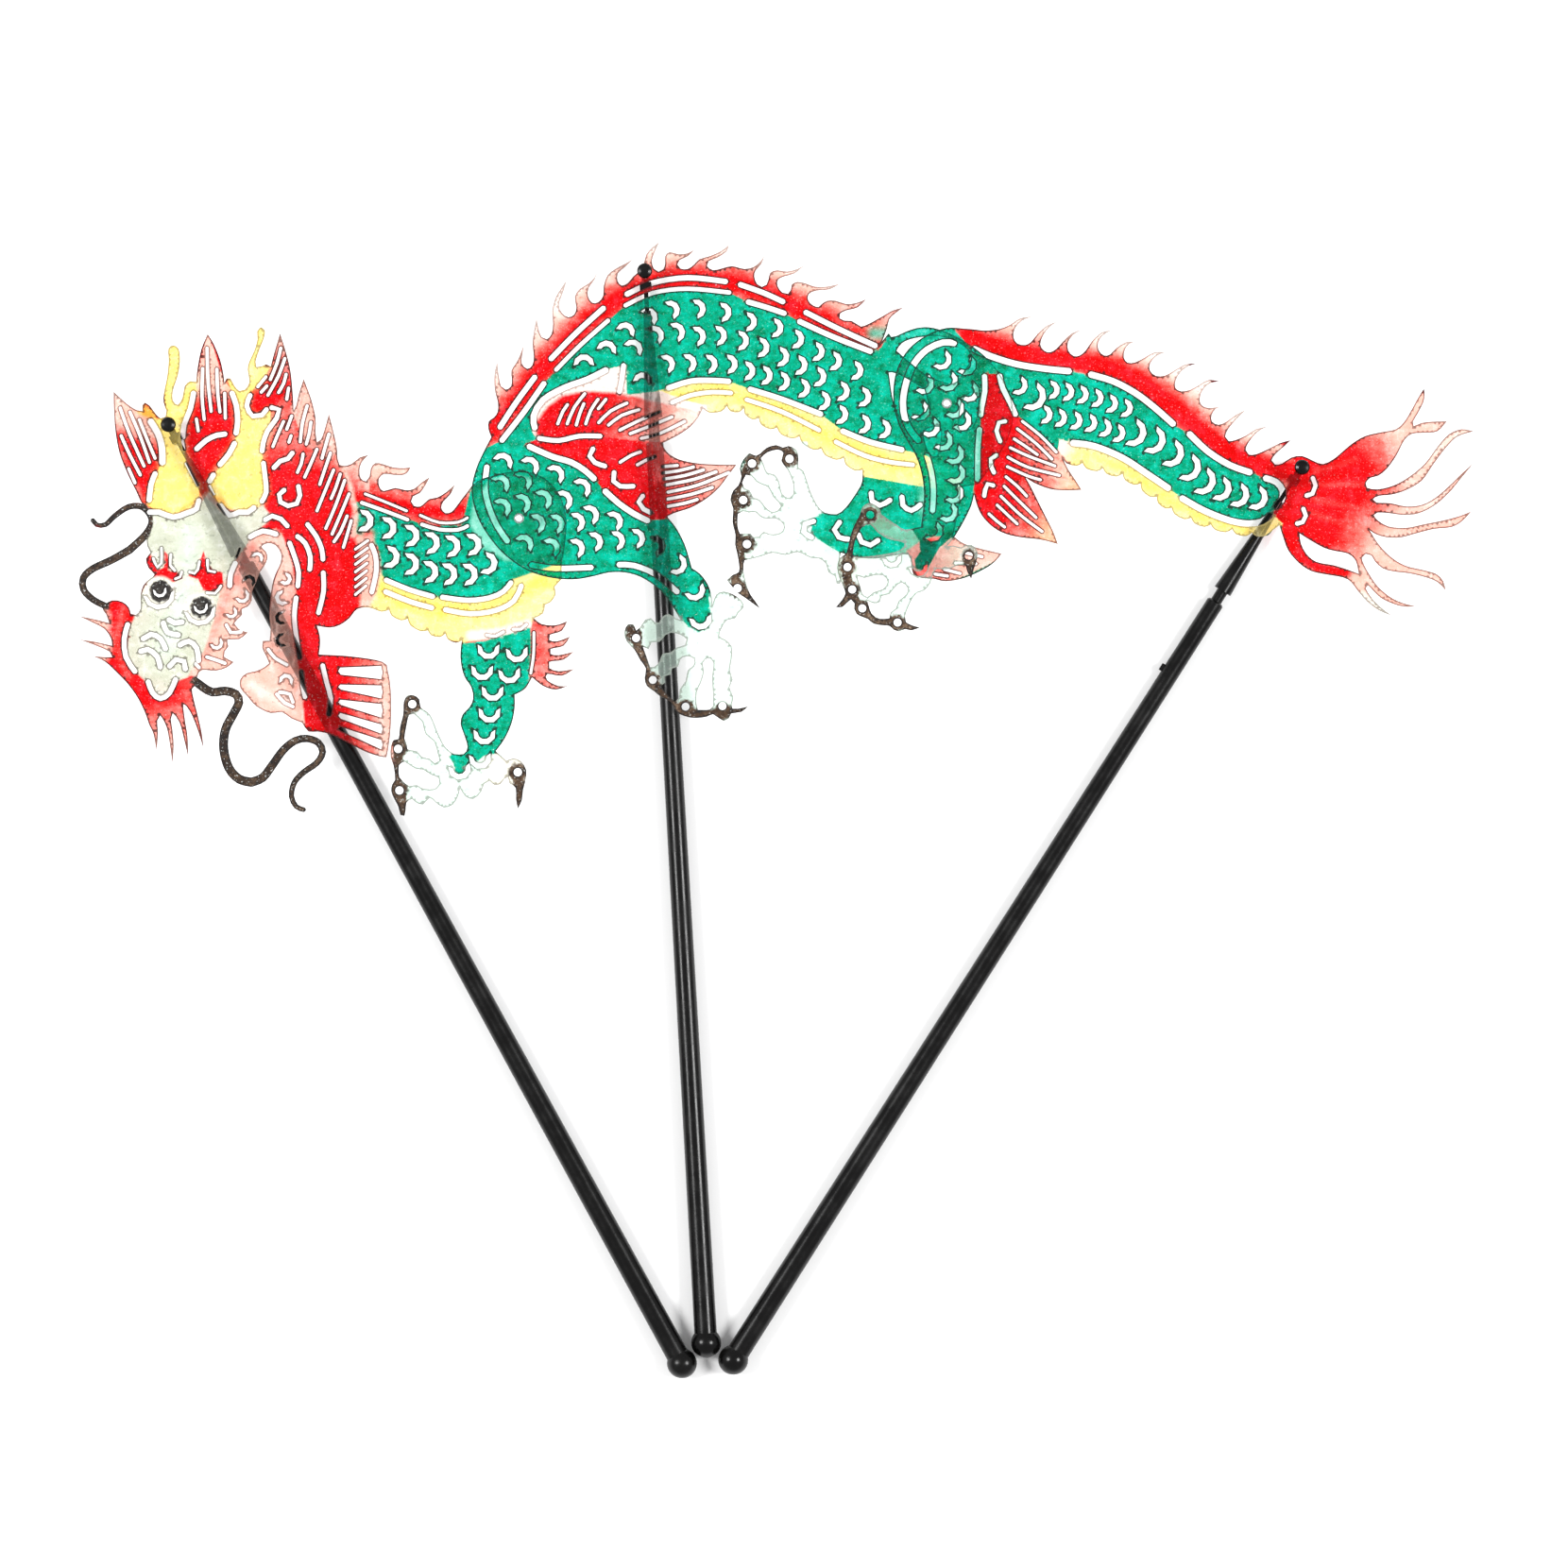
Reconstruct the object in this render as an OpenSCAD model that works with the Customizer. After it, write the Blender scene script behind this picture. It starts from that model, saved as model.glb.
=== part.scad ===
/* [Sheets] */
// Thickness of the painted film
sheet_t = 0.5; // [0.4:0.1:0.6]
// Free height between two sheets that lie over each other
sheet_gap = 0.4; // [0.3:0.1:0.6]
// Height of the lowest sheet's underside above the table
sheet_z = 7; // [7:0.1:9]
// Width of the cut crescents in the scales
scale_w = 1.75; // [1.2:0.05:2]
// Size of the cut crescents against their drawn radius
scale_size = 1.05; // [0.9:0.05:1.1]

/* [Rivets] */
// Diameter of a rivet's shank
rivet_d = 2; // [1.6:0.1:2.4]
// Diameter of a rivet's head and of its cap
rivet_head_d = 3.2; // [3.2:0.1:4.2]
// Height of a rivet's head and of its cap
rivet_head_h = 0.7; // [0.6:0.1:0.7]

/* [Buttons] */
// Diameter of a button
button_d = 4.8; // [4.6:0.1:6]
// Height of a button above its sheet
button_h = 1.5; // [1:0.1:2.2]
// Diameter of a button's stem
stem_d = 1.8; // [1.4:0.1:2]

/* [Rods] */
// Diameter of a rod at its socket end
rod_top_d = 5.6; // [5.4:0.1:5.7]
// Diameter of a rod beside its ball
rod_low_d = 7.2; // [6.2:0.1:7.4]
// Diameter of a rod's ball
ball_d = 9.6; // [8.8:0.1:9.6]
// Diameter of the spigot that slides in the rod
spigot_d = 3.6; // [3:0.1:3.8]
// Diameter of a hinge pin
pin_d = 1; // [0.8:0.1:1.2]

/* [Hidden] */

film_red = "#e00a19";
film_green = "#08a082";
film_tail = "#d81a28";
clear_plastic = "#e8eef2";
black_plastic = "#1b1b1c";

// Undersides of the three sheets: the middle sheet lies on the front one, the rear one on both
front_z = sheet_z;
middle_z = front_z + sheet_t + sheet_gap;
rear_z = middle_z + sheet_t + sheet_gap;

run_gap = 0.05;      // radial clearance of a running fit
face_gap = 0.1;      // clearance between faces that turn on each other
front_pivot = [-81.6, 93.2];
rear_pivot = [54.2, 129.7];

// Each rod runs from its button to its ball; the last value is how far its tip is pulled out
head_place = [-193, 123, -29.9, -175.3, 4];
middle_place = [-41.7, 171.8, -22.2, -168.8, 7.8];
rear_place = [167, 109.4, -13.6, -174.2, 3.9];

pin_x = 4.8;         // from a button's centre to its hinge pin
pin_z = 2.8;         // height of the hinge pins above the table
fork_w = 3.7;        // across the fork
fork_l = 2.6;        // along the rod
tongue_w = 1.4;
tongue_gap = 0.12;
neck_x = 12.5;       // where the tongue ends and the round tip starts
neck_d = 2.3;
tip_end_x = 46.5;    // where the tip's round body ends and its spigot starts
tip_end_d = 5.9;
spigot_l = 24;
socket_l = 26;
lug_x = 25.6;        // from the rod's top to its small side lug
chamfer = 0.5;
small_step = 1.9;    // length of a facet on a curved outline

// ---- curves ----
// A point is [x, y], and a third value of 1 makes it a sharp corner.
function spot(p) = [p[0], p[1]];
function sharp(p) = len(p) > 2;
function hermite(a, b, ta, tb, t) =
    a * (2 * t * t * t - 3 * t * t + 1) + ta * (t * t * t - 2 * t * t + t)
    + b * (3 * t * t - 2 * t * t * t) + tb * (t * t * t - t * t);
function leaving(p, q, r) = sharp(q) ? spot(r) - spot(q) : (spot(r) - spot(p)) / 2;
function reaching(q, r, s) = sharp(r) ? spot(r) - spot(q) : (spot(s) - spot(q)) / 2;
function facets(q, r, step) =
    sharp(q) && sharp(r) ? 1 : max(1, min(4, ceil(norm(spot(r) - spot(q)) / step)));
function piece_of_curve(p, q, r, s, step) = let (n = facets(q, r, step))
    [for (k = [0:n - 1]) hermite(spot(q), spot(r), leaving(p, q, r), reaching(q, r, s), k / n)];
function closed_curve(p, step = small_step) = let (n = len(p))
    [for (i = [0:n - 1])
        each piece_of_curve(p[(i + n - 1) % n], p[i], p[(i + 1) % n], p[(i + 2) % n], step)];
function open_curve(p, step = small_step) = let (n = len(p))
    concat([for (i = [0:n - 2])
        each piece_of_curve(p[max(i - 1, 0)], p[i], p[i + 1], p[min(i + 2, n - 1)], step)],
        [spot(p[n - 1])]);
function unit(v) = v / norm(v);
function left_of(v) = [-v[1], v[0]];
function heading(c, i) = unit(c[min(i + 1, len(c) - 1)] - c[max(i - 1, 0)]);
function round_end(at, v, w) =
    [for (a = [-60, 0, 60]) at + w / 2 * (cos(a) * v + sin(a) * left_of(v))];
// A stroke along an open curve, w0 wide where it starts and w1 where it ends, with round ends
function stroke(p, w0, w1, step) = let (c = open_curve(p, step), n = len(c) - 1)
    concat([for (i = [0:n]) c[i] - left_of(heading(c, i)) * (w0 + (w1 - w0) * i / n) / 2],
           round_end(c[n], heading(c, n), w1),
           [for (i = [n:-1:0]) c[i] + left_of(heading(c, i)) * (w0 + (w1 - w0) * i / n) / 2],
           round_end(c[0], -heading(c, 0), w0));
module slot(w, p) polygon(stroke(p, w, w, 3));
module slots(w, list) for (p = list) slot(w, p);
module band(w0, w1, p) polygon(stroke(p, w0, w1, small_step));
module island(p) polygon(closed_curve(p));
module eyelets(d, list) for (c = list) translate(c) circle(d = d, $fn = 24);

// A crescent cut round [x, y] with its back towards angle a
module crescent(c, a, r, w = scale_w, sweep = 190) translate(c)
    polygon(concat([for (k = [0:5]) let (t = a - sweep / 2 + k * sweep / 5) r * [cos(t), sin(t)]],
                   [for (k = [5:-1:0]) let (t = a - sweep / 2 + (0.2 + 0.92 * k) * sweep / 5)
                       (r - w * (0.76 + 0.24 * sin(36 * k))) * [cos(t), sin(t)]]));
// The same with c at the middle of the cut instead of at the centre of its arcs
module scale_cut(c, a, r, w = scale_w, sweep = 190)
    crescent(c - 0.3 * r * [cos(a), sin(a)], a, scale_size * r, w, sweep);
// A row of n crescents along an open curve, their backs turning from angle a0 to a1, most of it early on
module row(p, n, a0, a1, r, w = scale_w, sweep = 190) {
    c = open_curve(p, 1.5);
    for (i = [0:n - 1]) let (t = i / (n - 1))
        scale_cut(c[round(t * (len(c) - 1))], a1 + (a0 - a1) * pow(1 - t, 3), r, w, sweep);
}
// Scallops hanging between neighbouring points of a list
function scallops(p, drop) =
    [for (i = [0:len(p) - 2]) let (d = p[i + 1] - p[i], side = left_of(unit(d)))
        each [[p[i][0], p[i][1], 1], p[i] + d * 0.25 + side * drop, p[i] + d * 0.75 + side * drop]];

// ---- front sheet ----
head_back = [[-101.5, 97, 1], [-98.5, 101], [-95, 105], [-89, 107], [-81.5, 108.3], [-74, 106.3],
    [-68.7, 100.7], [-66.6, 93], [-67, 85], [-68, 79], [-68, 74, 1], [-70.3, 71.5, 1], [-70, 69],
    [-71.5, 66.7], [-73.3, 65.8, 1], [-74, 63], [-76.8, 61.5, 1]];
knee_fringe = [[-74.5, 59.7], [-70, 59.3], [-66.3, 60.6, 1], [-68, 57.5], [-71.8, 56.2], [-72, 54.6],
    [-69.5, 54.2], [-65.4, 55.7, 1], [-67.5, 52.7], [-71.6, 51.7], [-71.6, 50.2], [-69, 49.8],
    [-64.2, 50.9, 1], [-67.5, 48.3], [-72, 47.6], [-72, 45.7], [-69, 44.7], [-64, 45.4, 1], [-68, 43.2],
    [-72.6, 43.8], [-72.6, 41.8], [-69, 40], [-66, 40, 1], [-70, 38.8], [-74, 40], [-77.5, 42.7, 1]];
front_foot = [[-79.3, 39.5], [-81, 38.2], [-83, 37.2, 1], [-83, 33], [-84, 28], [-86.3, 23], [-89, 19.3, 1],
    [-85.7, 16.3, 1], [-83.5, 17], [-81, 16.2], [-79.3, 13.3], [-79.5, 10], [-80.3, 7], [-80.7, 3.6],
    [-82, 1, 1], [-82.6, 4], [-82.7, 7.6], [-84.7, 9, 1], [-85.2, 11], [-86.3, 10.4], [-87.6, 8.7],
    [-89.4, 8.4], [-91, 9.8], [-92.6, 8.9], [-93.7, 6.2], [-96.2, 4], [-98.7, 4.9], [-100.3, 7.3, 1],
    [-101, 4.8], [-102.7, 2.2], [-105.5, 1.3], [-108.2, 3], [-110, 4.4], [-112.1, 2.3], [-114.4, 3],
    [-115.6, 4], [-117.3, 3], [-117.6, 0.4], [-118, -1.3, 1], [-119.3, -1, 1], [-120.1, 2], [-121.2, 4],
    [-122.2, 6.6], [-121.9, 8.7], [-121, 10.2], [-121.5, 14.8], [-122.4, 17.4], [-122.3, 20.7],
    [-121.5, 22.8], [-119.9, 23.2], [-119.4, 27], [-118.4, 31], [-118.2, 35], [-117, 37], [-115, 37],
    [-113.3, 35.8], [-112.8, 33.2], [-109.8, 30.8], [-107.3, 25], [-105, 20.6], [-102.3, 18.4, 1],
    [-99.2, 18.4], [-98, 20.6], [-99, 24.3], [-100.2, 28], [-99.5, 31], [-97.4, 33.2], [-96.2, 36],
    [-96.8, 39.6], [-99, 43], [-100.1, 47.4], [-100.2, 51]];
chest = scallops([[-99.8, 54.4], [-105, 56.6], [-110.6, 57.6], [-117, 61.3], [-122.9, 64.2],
    [-130.7, 66.8]], 1.4);
fan_comb = [[-133, 64.4], [-135.5, 61.5], [-138.4, 59.4], [-141.7, 58.5], [-145.8, 59.1, 1],
    [-144.9, 56], [-144.8, 53], [-145.2, 50, 1], [-135, 49.4], [-125, 47.7], [-123.3, 45], [-122.3, 38],
    [-122.3, 28], [-123, 21], [-123.7, 17.3, 1], [-126, 17.6], [-131, 19.4], [-137, 22.5], [-141.5, 24.6],
    [-145.5, 25.5], [-148.5, 25.5]];
jaw = [[-150.5, 28.3, 1], [-154, 29.7], [-157, 31.7], [-160.5, 31.3], [-165, 33.5], [-168, 36.8],
    [-170.1, 39.3], [-170.2, 42], [-168.3, 44], [-165, 44.8], [-162.5, 46], [-161, 47.2, 1],
    [-162, 49.5], [-163.2, 52], [-163, 54.3, 1], [-160.8, 54.4, 1], [-160.5, 58], [-160.9, 63],
    [-160.5, 68], [-160, 72], [-159, 75.5], [-157.4, 79], [-157.2, 82], [-159, 84.7], [-161.5, 85.3],
    [-163.4, 84.2], [-162, 82.7], [-161.5, 80.5], [-162.6, 78], [-164, 76], [-165.2, 72.8, 1]];
cheek_fringe = [[-166.4, 70], [-166.5, 67.2], [-167.8, 65.2], [-169.7, 64.3], [-169.5, 62.7],
    [-171, 61.2], [-172, 59.9, 1], [-170.5, 58], [-167.7, 57, 1], [-170.5, 54.8], [-174.2, 54.7],
    [-173.9, 52.6], [-175.1, 51], [-175.3, 49.3], [-172.2, 47.6, 1], [-174.5, 45.8], [-178, 44.8],
    [-182.3, 45], [-183.7, 43.3], [-184.6, 40, 1]];
beard = [[-185.5, 39], [-185, 36], [-183.5, 30], [-182.4, 25], [-181.8, 20, 1], [-182.8, 23.4],
    [-184.4, 28], [-186.2, 32], [-188.2, 34.2], [-187.7, 29], [-186.9, 24], [-186.7, 17.5, 1],
    [-188, 23], [-189.5, 28.5], [-191.6, 31.3], [-192.2, 29.5], [-191.7, 26], [-191.3, 21],
    [-191.7, 15.4, 1], [-192.6, 22], [-193.6, 27], [-195.6, 30.6], [-196.5, 29], [-196.3, 25],
    [-196.7, 19.4, 1], [-197.8, 25], [-199, 27.5], [-200.4, 31.5], [-202.6, 36], [-205.6, 40.3],
    [-209, 43.9], [-213, 47.6], [-217, 49.5, 1], [-213.5, 49.2], [-210.8, 49.2, 1], [-211.6, 50.8],
    [-216.5, 53], [-221.5, 54.8, 1], [-216, 54], [-210.9, 52.8, 1], [-211.2, 55], [-213.2, 58],
    [-217.5, 60.3], [-221.4, 62.2, 1], [-216.5, 61.2], [-211.8, 60, 1], [-212.7, 62.6],
    [-214, 65], [-210.9, 67.2], [-207.6, 66.7], [-205.6, 65], [-204.9, 62.9, 1], [-203.3, 62.6],
    [-201.8, 64.6], [-201.9, 68.5], [-200.9, 72], [-198.9, 74], [-197.4, 75.4], [-199.3, 77.5],
    [-200.1, 80.4], [-198.7, 82.3], [-199.7, 84.4], [-199.9, 88], [-199.2, 92], [-199.6, 95.5]];
crown = [[-201.6, 98.3], [-203.3, 102], [-206, 107.5], [-208.5, 114], [-209.8, 121], [-210.3, 128],
    [-210.4, 133.5, 1], [-206, 129.5], [-203, 127.6], [-201.2, 127.3, 1], [-201.2, 129.2],
    [-200.4, 130], [-198.9, 129], [-197, 126.4], [-195.4, 125], [-193.9, 125.5], [-193.6, 127.3],
    [-194.5, 130], [-194.4, 133], [-193.4, 138], [-192.9, 143], [-193, 147], [-191.5, 148.2],
    [-189.7, 147], [-189.3, 143], [-190, 138.5], [-191.5, 134], [-191.6, 130.8], [-190, 129.3],
    [-188.5, 131.5], [-187.8, 135.2], [-186, 136.8], [-184.2, 136.6, 1], [-183.7, 141], [-182.5, 147],
    [-180.5, 151.8, 1], [-178.5, 148.5], [-176.5, 143.5], [-175.5, 139], [-175.2, 136.3, 1],
    [-174.5, 137.7], [-173.3, 137.7], [-172, 135.3], [-170.4, 133.7], [-168.7, 134.1],
    [-167.3, 136.4], [-167.8, 140.5], [-167.3, 143], [-165.8, 146.2], [-164.7, 150], [-164.8, 152.6],
    [-163.5, 154], [-162.3, 153], [-162.6, 150.6], [-164, 147], [-165.3, 143], [-165, 141.3],
    [-163.2, 141.6], [-161.9, 142.2], [-160.5, 141.5, 1]];
mane = [[-159.3, 146], [-157.5, 152, 1], [-155.6, 146], [-154.2, 140], [-153.5, 133], [-153.2, 127.5, 1],
    [-152.4, 129], [-151.5, 133], [-150, 137.5, 1], [-147.6, 131], [-146.2, 125], [-146.2, 120.5],
    [-145.8, 117.4, 1], [-144.6, 118.2], [-143.5, 121], [-142, 126.4, 1], [-140.6, 121], [-139.5, 116],
    [-139.2, 112], [-138.6, 110.2], [-137, 109.9]];
neck_flames = [[-134.7, 110.6], [-132.2, 112.6], [-129.5, 113.3, 1], [-131.6, 111], [-132.3, 108.5],
    [-131.9, 106], [-130.2, 105], [-129.1, 106.5], [-128.7, 109], [-127.3, 110.8], [-124.5, 110.4],
    [-121.5, 109.4], [-118, 109.2], [-116, 109.5, 1], [-117.2, 107.6], [-119, 106.9], [-121.6, 107],
    [-124.5, 107.3], [-126.1, 105.8], [-126, 103.4], [-124.6, 101.9], [-121, 102.9], [-117.7, 102.2],
    [-115, 102.6], [-112.5, 104.7], [-110, 106.3, 1], [-111.5, 103.4], [-113.2, 101.2],
    [-115.3, 100.2], [-115.9, 98.6], [-115, 97.2], [-113, 97], [-111.5, 98.2], [-110, 99.4],
    [-107.5, 99.9], [-104.7, 101.6], [-102, 104, 1], [-103.3, 101], [-105.6, 98.6], [-106.3, 96.5],
    [-105, 94.9], [-103, 95.3]];
front_outline = concat(head_back, knee_fringe, front_foot, chest, fan_comb, jaw, cheek_fringe, beard,
                       crown, mane, neck_flames);

module mane_slots() {
    slots(1.45, [[[-159.5, 109.3], [-157.5, 111.4], [-155, 112.2], [-153.6, 114]],
        [[-156.2, 102.2], [-157.8, 100.8], [-157.4, 98.4], [-155, 97.2], [-152.2, 97.9], [-151.2, 100.5],
            [-151.7, 103.4]],
        [[-162.2, 92.8], [-160, 94], [-157.2, 93], [-155.2, 90.8]],
        [[-148.8, 91.3], [-146, 87.5], [-144.3, 83.5], [-143.9, 80.2]],
        [[-152, 87.5], [-149.5, 85.3], [-147.9, 81], [-148.1, 77]],
        [[-154.5, 85.4], [-152.7, 80.5], [-151.6, 76], [-151.9, 71.7]],
        [[-143.8, 76], [-143.7, 70], [-145.3, 63.2]],
        [[-152.4, 68], [-153, 62], [-152.4, 56], [-151.3, 49]],
        [[-150.8, 44.5], [-150.3, 40], [-149.6, 36.5]],
        [[-144, 46.5], [-142.7, 41], [-141.4, 36], [-142, 31]],
        [[-167, 132.3], [-168.1, 129], [-166.2, 125.7], [-163.3, 126], [-161.8, 127.8]],
        [[-160.2, 128.4], [-157.8, 127.8], [-158.6, 125], [-161.5, 121], [-162.9, 117], [-163.2, 114.6]],
        [[-162.8, 110.8], [-162.2, 106], [-161.9, 101.5], [-163.3, 98.6]],
        [[-128.5, 84.7], [-127.2, 81.5], [-126.9, 77], [-127.6, 73], [-128.4, 69.8]]]);
    slots(0.95, [[[-157.3, 147.3], [-158.5, 142.5], [-160.6, 137.3]],
        [[-156, 144], [-158, 138.5], [-161.4, 132.3]], [[-155.6, 139], [-156.4, 136], [-158, 133.2]],
        [[-154.8, 134.6], [-155.4, 131]], [[-162, 138.2], [-164.6, 135]], [[-161.7, 135.3], [-163.5, 133.3]],
        [[-153.8, 125.8], [-155.4, 121.5]], [[-156.4, 124], [-158.3, 119.7], [-159.8, 116]],
        [[-154, 119.5], [-154.7, 117.4]], [[-148.9, 129], [-150.4, 123.5], [-151.1, 117.5]],
        [[-147.7, 123.8], [-148.3, 120], [-149.2, 116.8]], [[-142, 120], [-143.3, 115.5], [-144.2, 112.3]],
        [[-145.8, 115.2], [-147.8, 110.5], [-149.7, 106.3]], [[-141.5, 114], [-143.4, 108.5], [-144.9, 104]],
        [[-150.2, 113.7], [-150.8, 110.5], [-152, 107.8]], [[-140.5, 108.6], [-143, 102.5], [-145.8, 95.6]],
        [[-138.4, 107.3], [-139.8, 103], [-141.3, 99.5]], [[-137, 105.3], [-139.8, 97.5], [-143, 90]],
        [[-135.6, 101], [-138.3, 94.5], [-141, 88.2]], [[-136.2, 94], [-138.3, 89], [-140.4, 85.8]],
        [[-134.9, 92.5], [-136.2, 88], [-137.4, 84]]]);
    slots(0.8, [for (i = [0:6]) [[-129.6 - i * 0.1, 86.2 - i * 2.4], [-133.6, 83.4 - i * 2.4]]]);
}
module comb_slots() for (h = [[45.8, 43.6, 46.3, 42.2], [40.4, 38.9, 40.1, 36.1], [35.6, 34, 34.2, 30],
                              [31.4, 29.6, 27.7, 24.9], [27, 25.7, 22.8, 19.9]])
    polygon([[-139, (h[0] + h[1]) / 2], [-138.4, h[0]], [-125.4, h[2]], [-125, (h[2] + h[3]) / 2],
             [-125.4, h[3]], [-138.2, h[1]]]);
module ear_slots() {
    slots(0.95, [[[-208.3, 128.3], [-205.5, 120.5], [-200.7, 109.8]],
        [[-205.2, 127], [-202, 119.5], [-199, 111]],
        [[-202.2, 124.6], [-199.6, 118], [-197.2, 112.3]], [[-208, 119.5], [-205.3, 113.5], [-201.9, 107]],
        [[-205.6, 109], [-203.6, 104.5]], [[-182.1, 140.8], [-182.3, 132], [-181.6, 124.6]],
        [[-180.7, 147.3], [-180.4, 137], [-179.4, 127.2]], [[-177.6, 140.6], [-177.3, 133], [-176.6, 127]],
        [[-175.1, 133], [-174.9, 125]], [[-184.1, 124.8], [-183.5, 121]]]);
    slots(1.6, [[[-184, 115.3], [-181, 118], [-177.7, 119.6], [-175, 120]],
        [[-185, 133], [-186, 128], [-188, 123], [-188.4, 119]],
        [[-172.8, 133], [-171.4, 129], [-171, 124], [-171.5, 120.3]],
        [[-172, 117], [-173.9, 113.5], [-176.6, 110.3]], [[-178.7, 107], [-179.9, 105]],
        [[-197.2, 107.4], [-198.5, 104], [-199.1, 99]], [[-199, 95.2], [-196, 95.2], [-191.5, 93.6],
            [-187.2, 94.9], [-184, 96.3], [-183.3, 98.9]],
        [[-176.4, 97.3], [-173.6, 94.2], [-170.6, 95.2], [-167.7, 95.2], [-165.8, 96.6]]]);
    slot(2, [[-198.6, 124], [-196.2, 120], [-195, 115.5], [-194.9, 111]]);
    slots(0.8, [[[-188.8, 119.6], [-188, 115]], [[-187.4, 110.6], [-183.7, 103.7]],
        [[-179.9, 103.5], [-178.6, 100.8]],
        [[-177.3, 97.7], [-175, 94.5]], [[-170.3, 83.6], [-171.4, 80.8]]]);
}
module face_slots() {
    for (c = [[-196, 69.3, 5, 2.2], [-183, 64.2, 5, 2.3]]) {
        crescent([c[0], c[1]], -80, c[2], 1.4, 185);
        crescent([c[0] + 0.3, c[1] + 1], -80, c[3], 0.9, 215);
    }
    slots(1.55, [[[-201, 55], [-198.5, 56.4], [-195.5, 55], [-193.9, 51.8]],
        [[-194.6, 60], [-193.3, 57], [-189.8, 56.2]], [[-192.8, 61], [-191, 60], [-188.6, 60.3]],
        [[-201.8, 51], [-199.5, 51.6], [-196.5, 49.3], [-195.6, 46]],
        [[-192.6, 46.3], [-190.6, 48.4], [-188, 47.8], [-187.6, 45.4]],
        [[-189.3, 53], [-186.5, 54.2], [-184, 52], [-183.4, 48]],
        [[-205.9, 59.5], [-207, 55], [-206.5, 49.2], [-203.6, 44.6]],
        [[-199.4, 41.3], [-198, 37.8], [-195.5, 36], [-192.7, 37.7], [-190.7, 42]],
        [[-171.7, 79], [-173.2, 75.5], [-173.5, 71.8]], [[-167, 87.3], [-163, 89.2], [-158.8, 88.2]]]);
    slots(0.75, [[[-197.8, 80.5], [-196.5, 77.7], [-195.2, 79], [-195.2, 83.8]],
        [[-192.2, 81.8], [-192.4, 78.3], [-190.9, 76.6]],
        [[-186.3, 76.2], [-184.7, 75.7], [-183.6, 77], [-183.1, 79.5]],
        [[-180.6, 80], [-180.3, 76.6], [-178.2, 76.2]],
        [[-190.8, 74], [-189.3, 74.6], [-188.7, 76.2]], [[-180.8, 69.6], [-178.2, 69.4], [-176.3, 71.8]]]);
    slots(1, [[[-174.6, 59.4], [-173.2, 57], [-169.9, 57.2]], [[-180.8, 49.2], [-178, 48.3], [-175, 47.2]],
        [[-183.2, 45.8], [-184.3, 47]]]);
    crescent([-164.8, 80.6], 60, 1.9, 1, 200);
    crescent([-167.3, 73.3], 60, 2.1, 1.3, 240);
    crescent([-169.5, 68.6], -50, 2.3, 1.1, 220);
    crescent([-173, 63.4], -50, 1.9, 0.9, 220);
    crescent([-177.7, 53.6], -60, 2.1, 1, 220);
    crescent([-155.8, 74], -30, 2, 1.2, 240);
    crescent([-156.8, 68], 200, 2.4, 1.3, 230);
    crescent([-157, 61.6], 190, 2.2, 1.2, 230);
    crescent([-156.8, 54.6], 190, 2.3, 1.2, 230);
    crescent([-155.6, 41.6], 80, 2.3, 1.2, 230);
    slots(1, [[[-161.3, 51.6], [-159, 48.8], [-155.3, 46.7]], [[-158.6, 37.4], [-156, 34.6], [-153.4, 33.4]],
        [[-157.7, 38], [-154.4, 37.4], [-153.4, 34.8]]]);
}
module neck_slots() {
    row([[-130.3, 92.4], [-123, 90.2], [-115.7, 87.8], [-109.2, 85.5], [-102.7, 84.5], [-96, 85]],
        6, -5, 5, 3.4, 1.9, 215);
    row([[-122, 80.8], [-115.8, 78.7], [-109.7, 76.3], [-103.7, 75.6], [-97.2, 75.5]],
        5, -10, 5, 3.4, 1.9, 215);
    scale_cut([-91, 78.7], -15, 3.4, 1.9, 215);
    slots(0.8, [[[-130.5, 101], [-123, 98], [-117.3, 95.6]],
        [[-113, 94.2], [-107, 91.9], [-101, 92], [-98, 93.4]]]);
    slots(1.1, [[[-131.6, 98.2], [-124, 95.5], [-117, 92.8]],
        [[-112.5, 91.3], [-107, 89.7], [-101, 89.6], [-98, 90.8]]]);
    slots(1.5, [[[-123.8, 73.6], [-116.5, 70.6], [-109, 68.4]], [[-124, 69.9], [-116, 66.7], [-109.3, 64.8]],
        [[-106, 68.2], [-98, 67.2], [-91, 68], [-86.6, 70], [-84.2, 72.8]],
        [[-105, 64.2], [-97, 62.9], [-89, 64], [-83.3, 67], [-80.9, 71.8]]]);
    slots(0.8, [[[-92, 56.2], [-89, 55.8], [-86.5, 57.2]], [[-83.5, 58], [-81, 58], [-79.2, 59.6]],
        [[-76.9, 57], [-77, 50], [-77.9, 44]]]);
}
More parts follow.
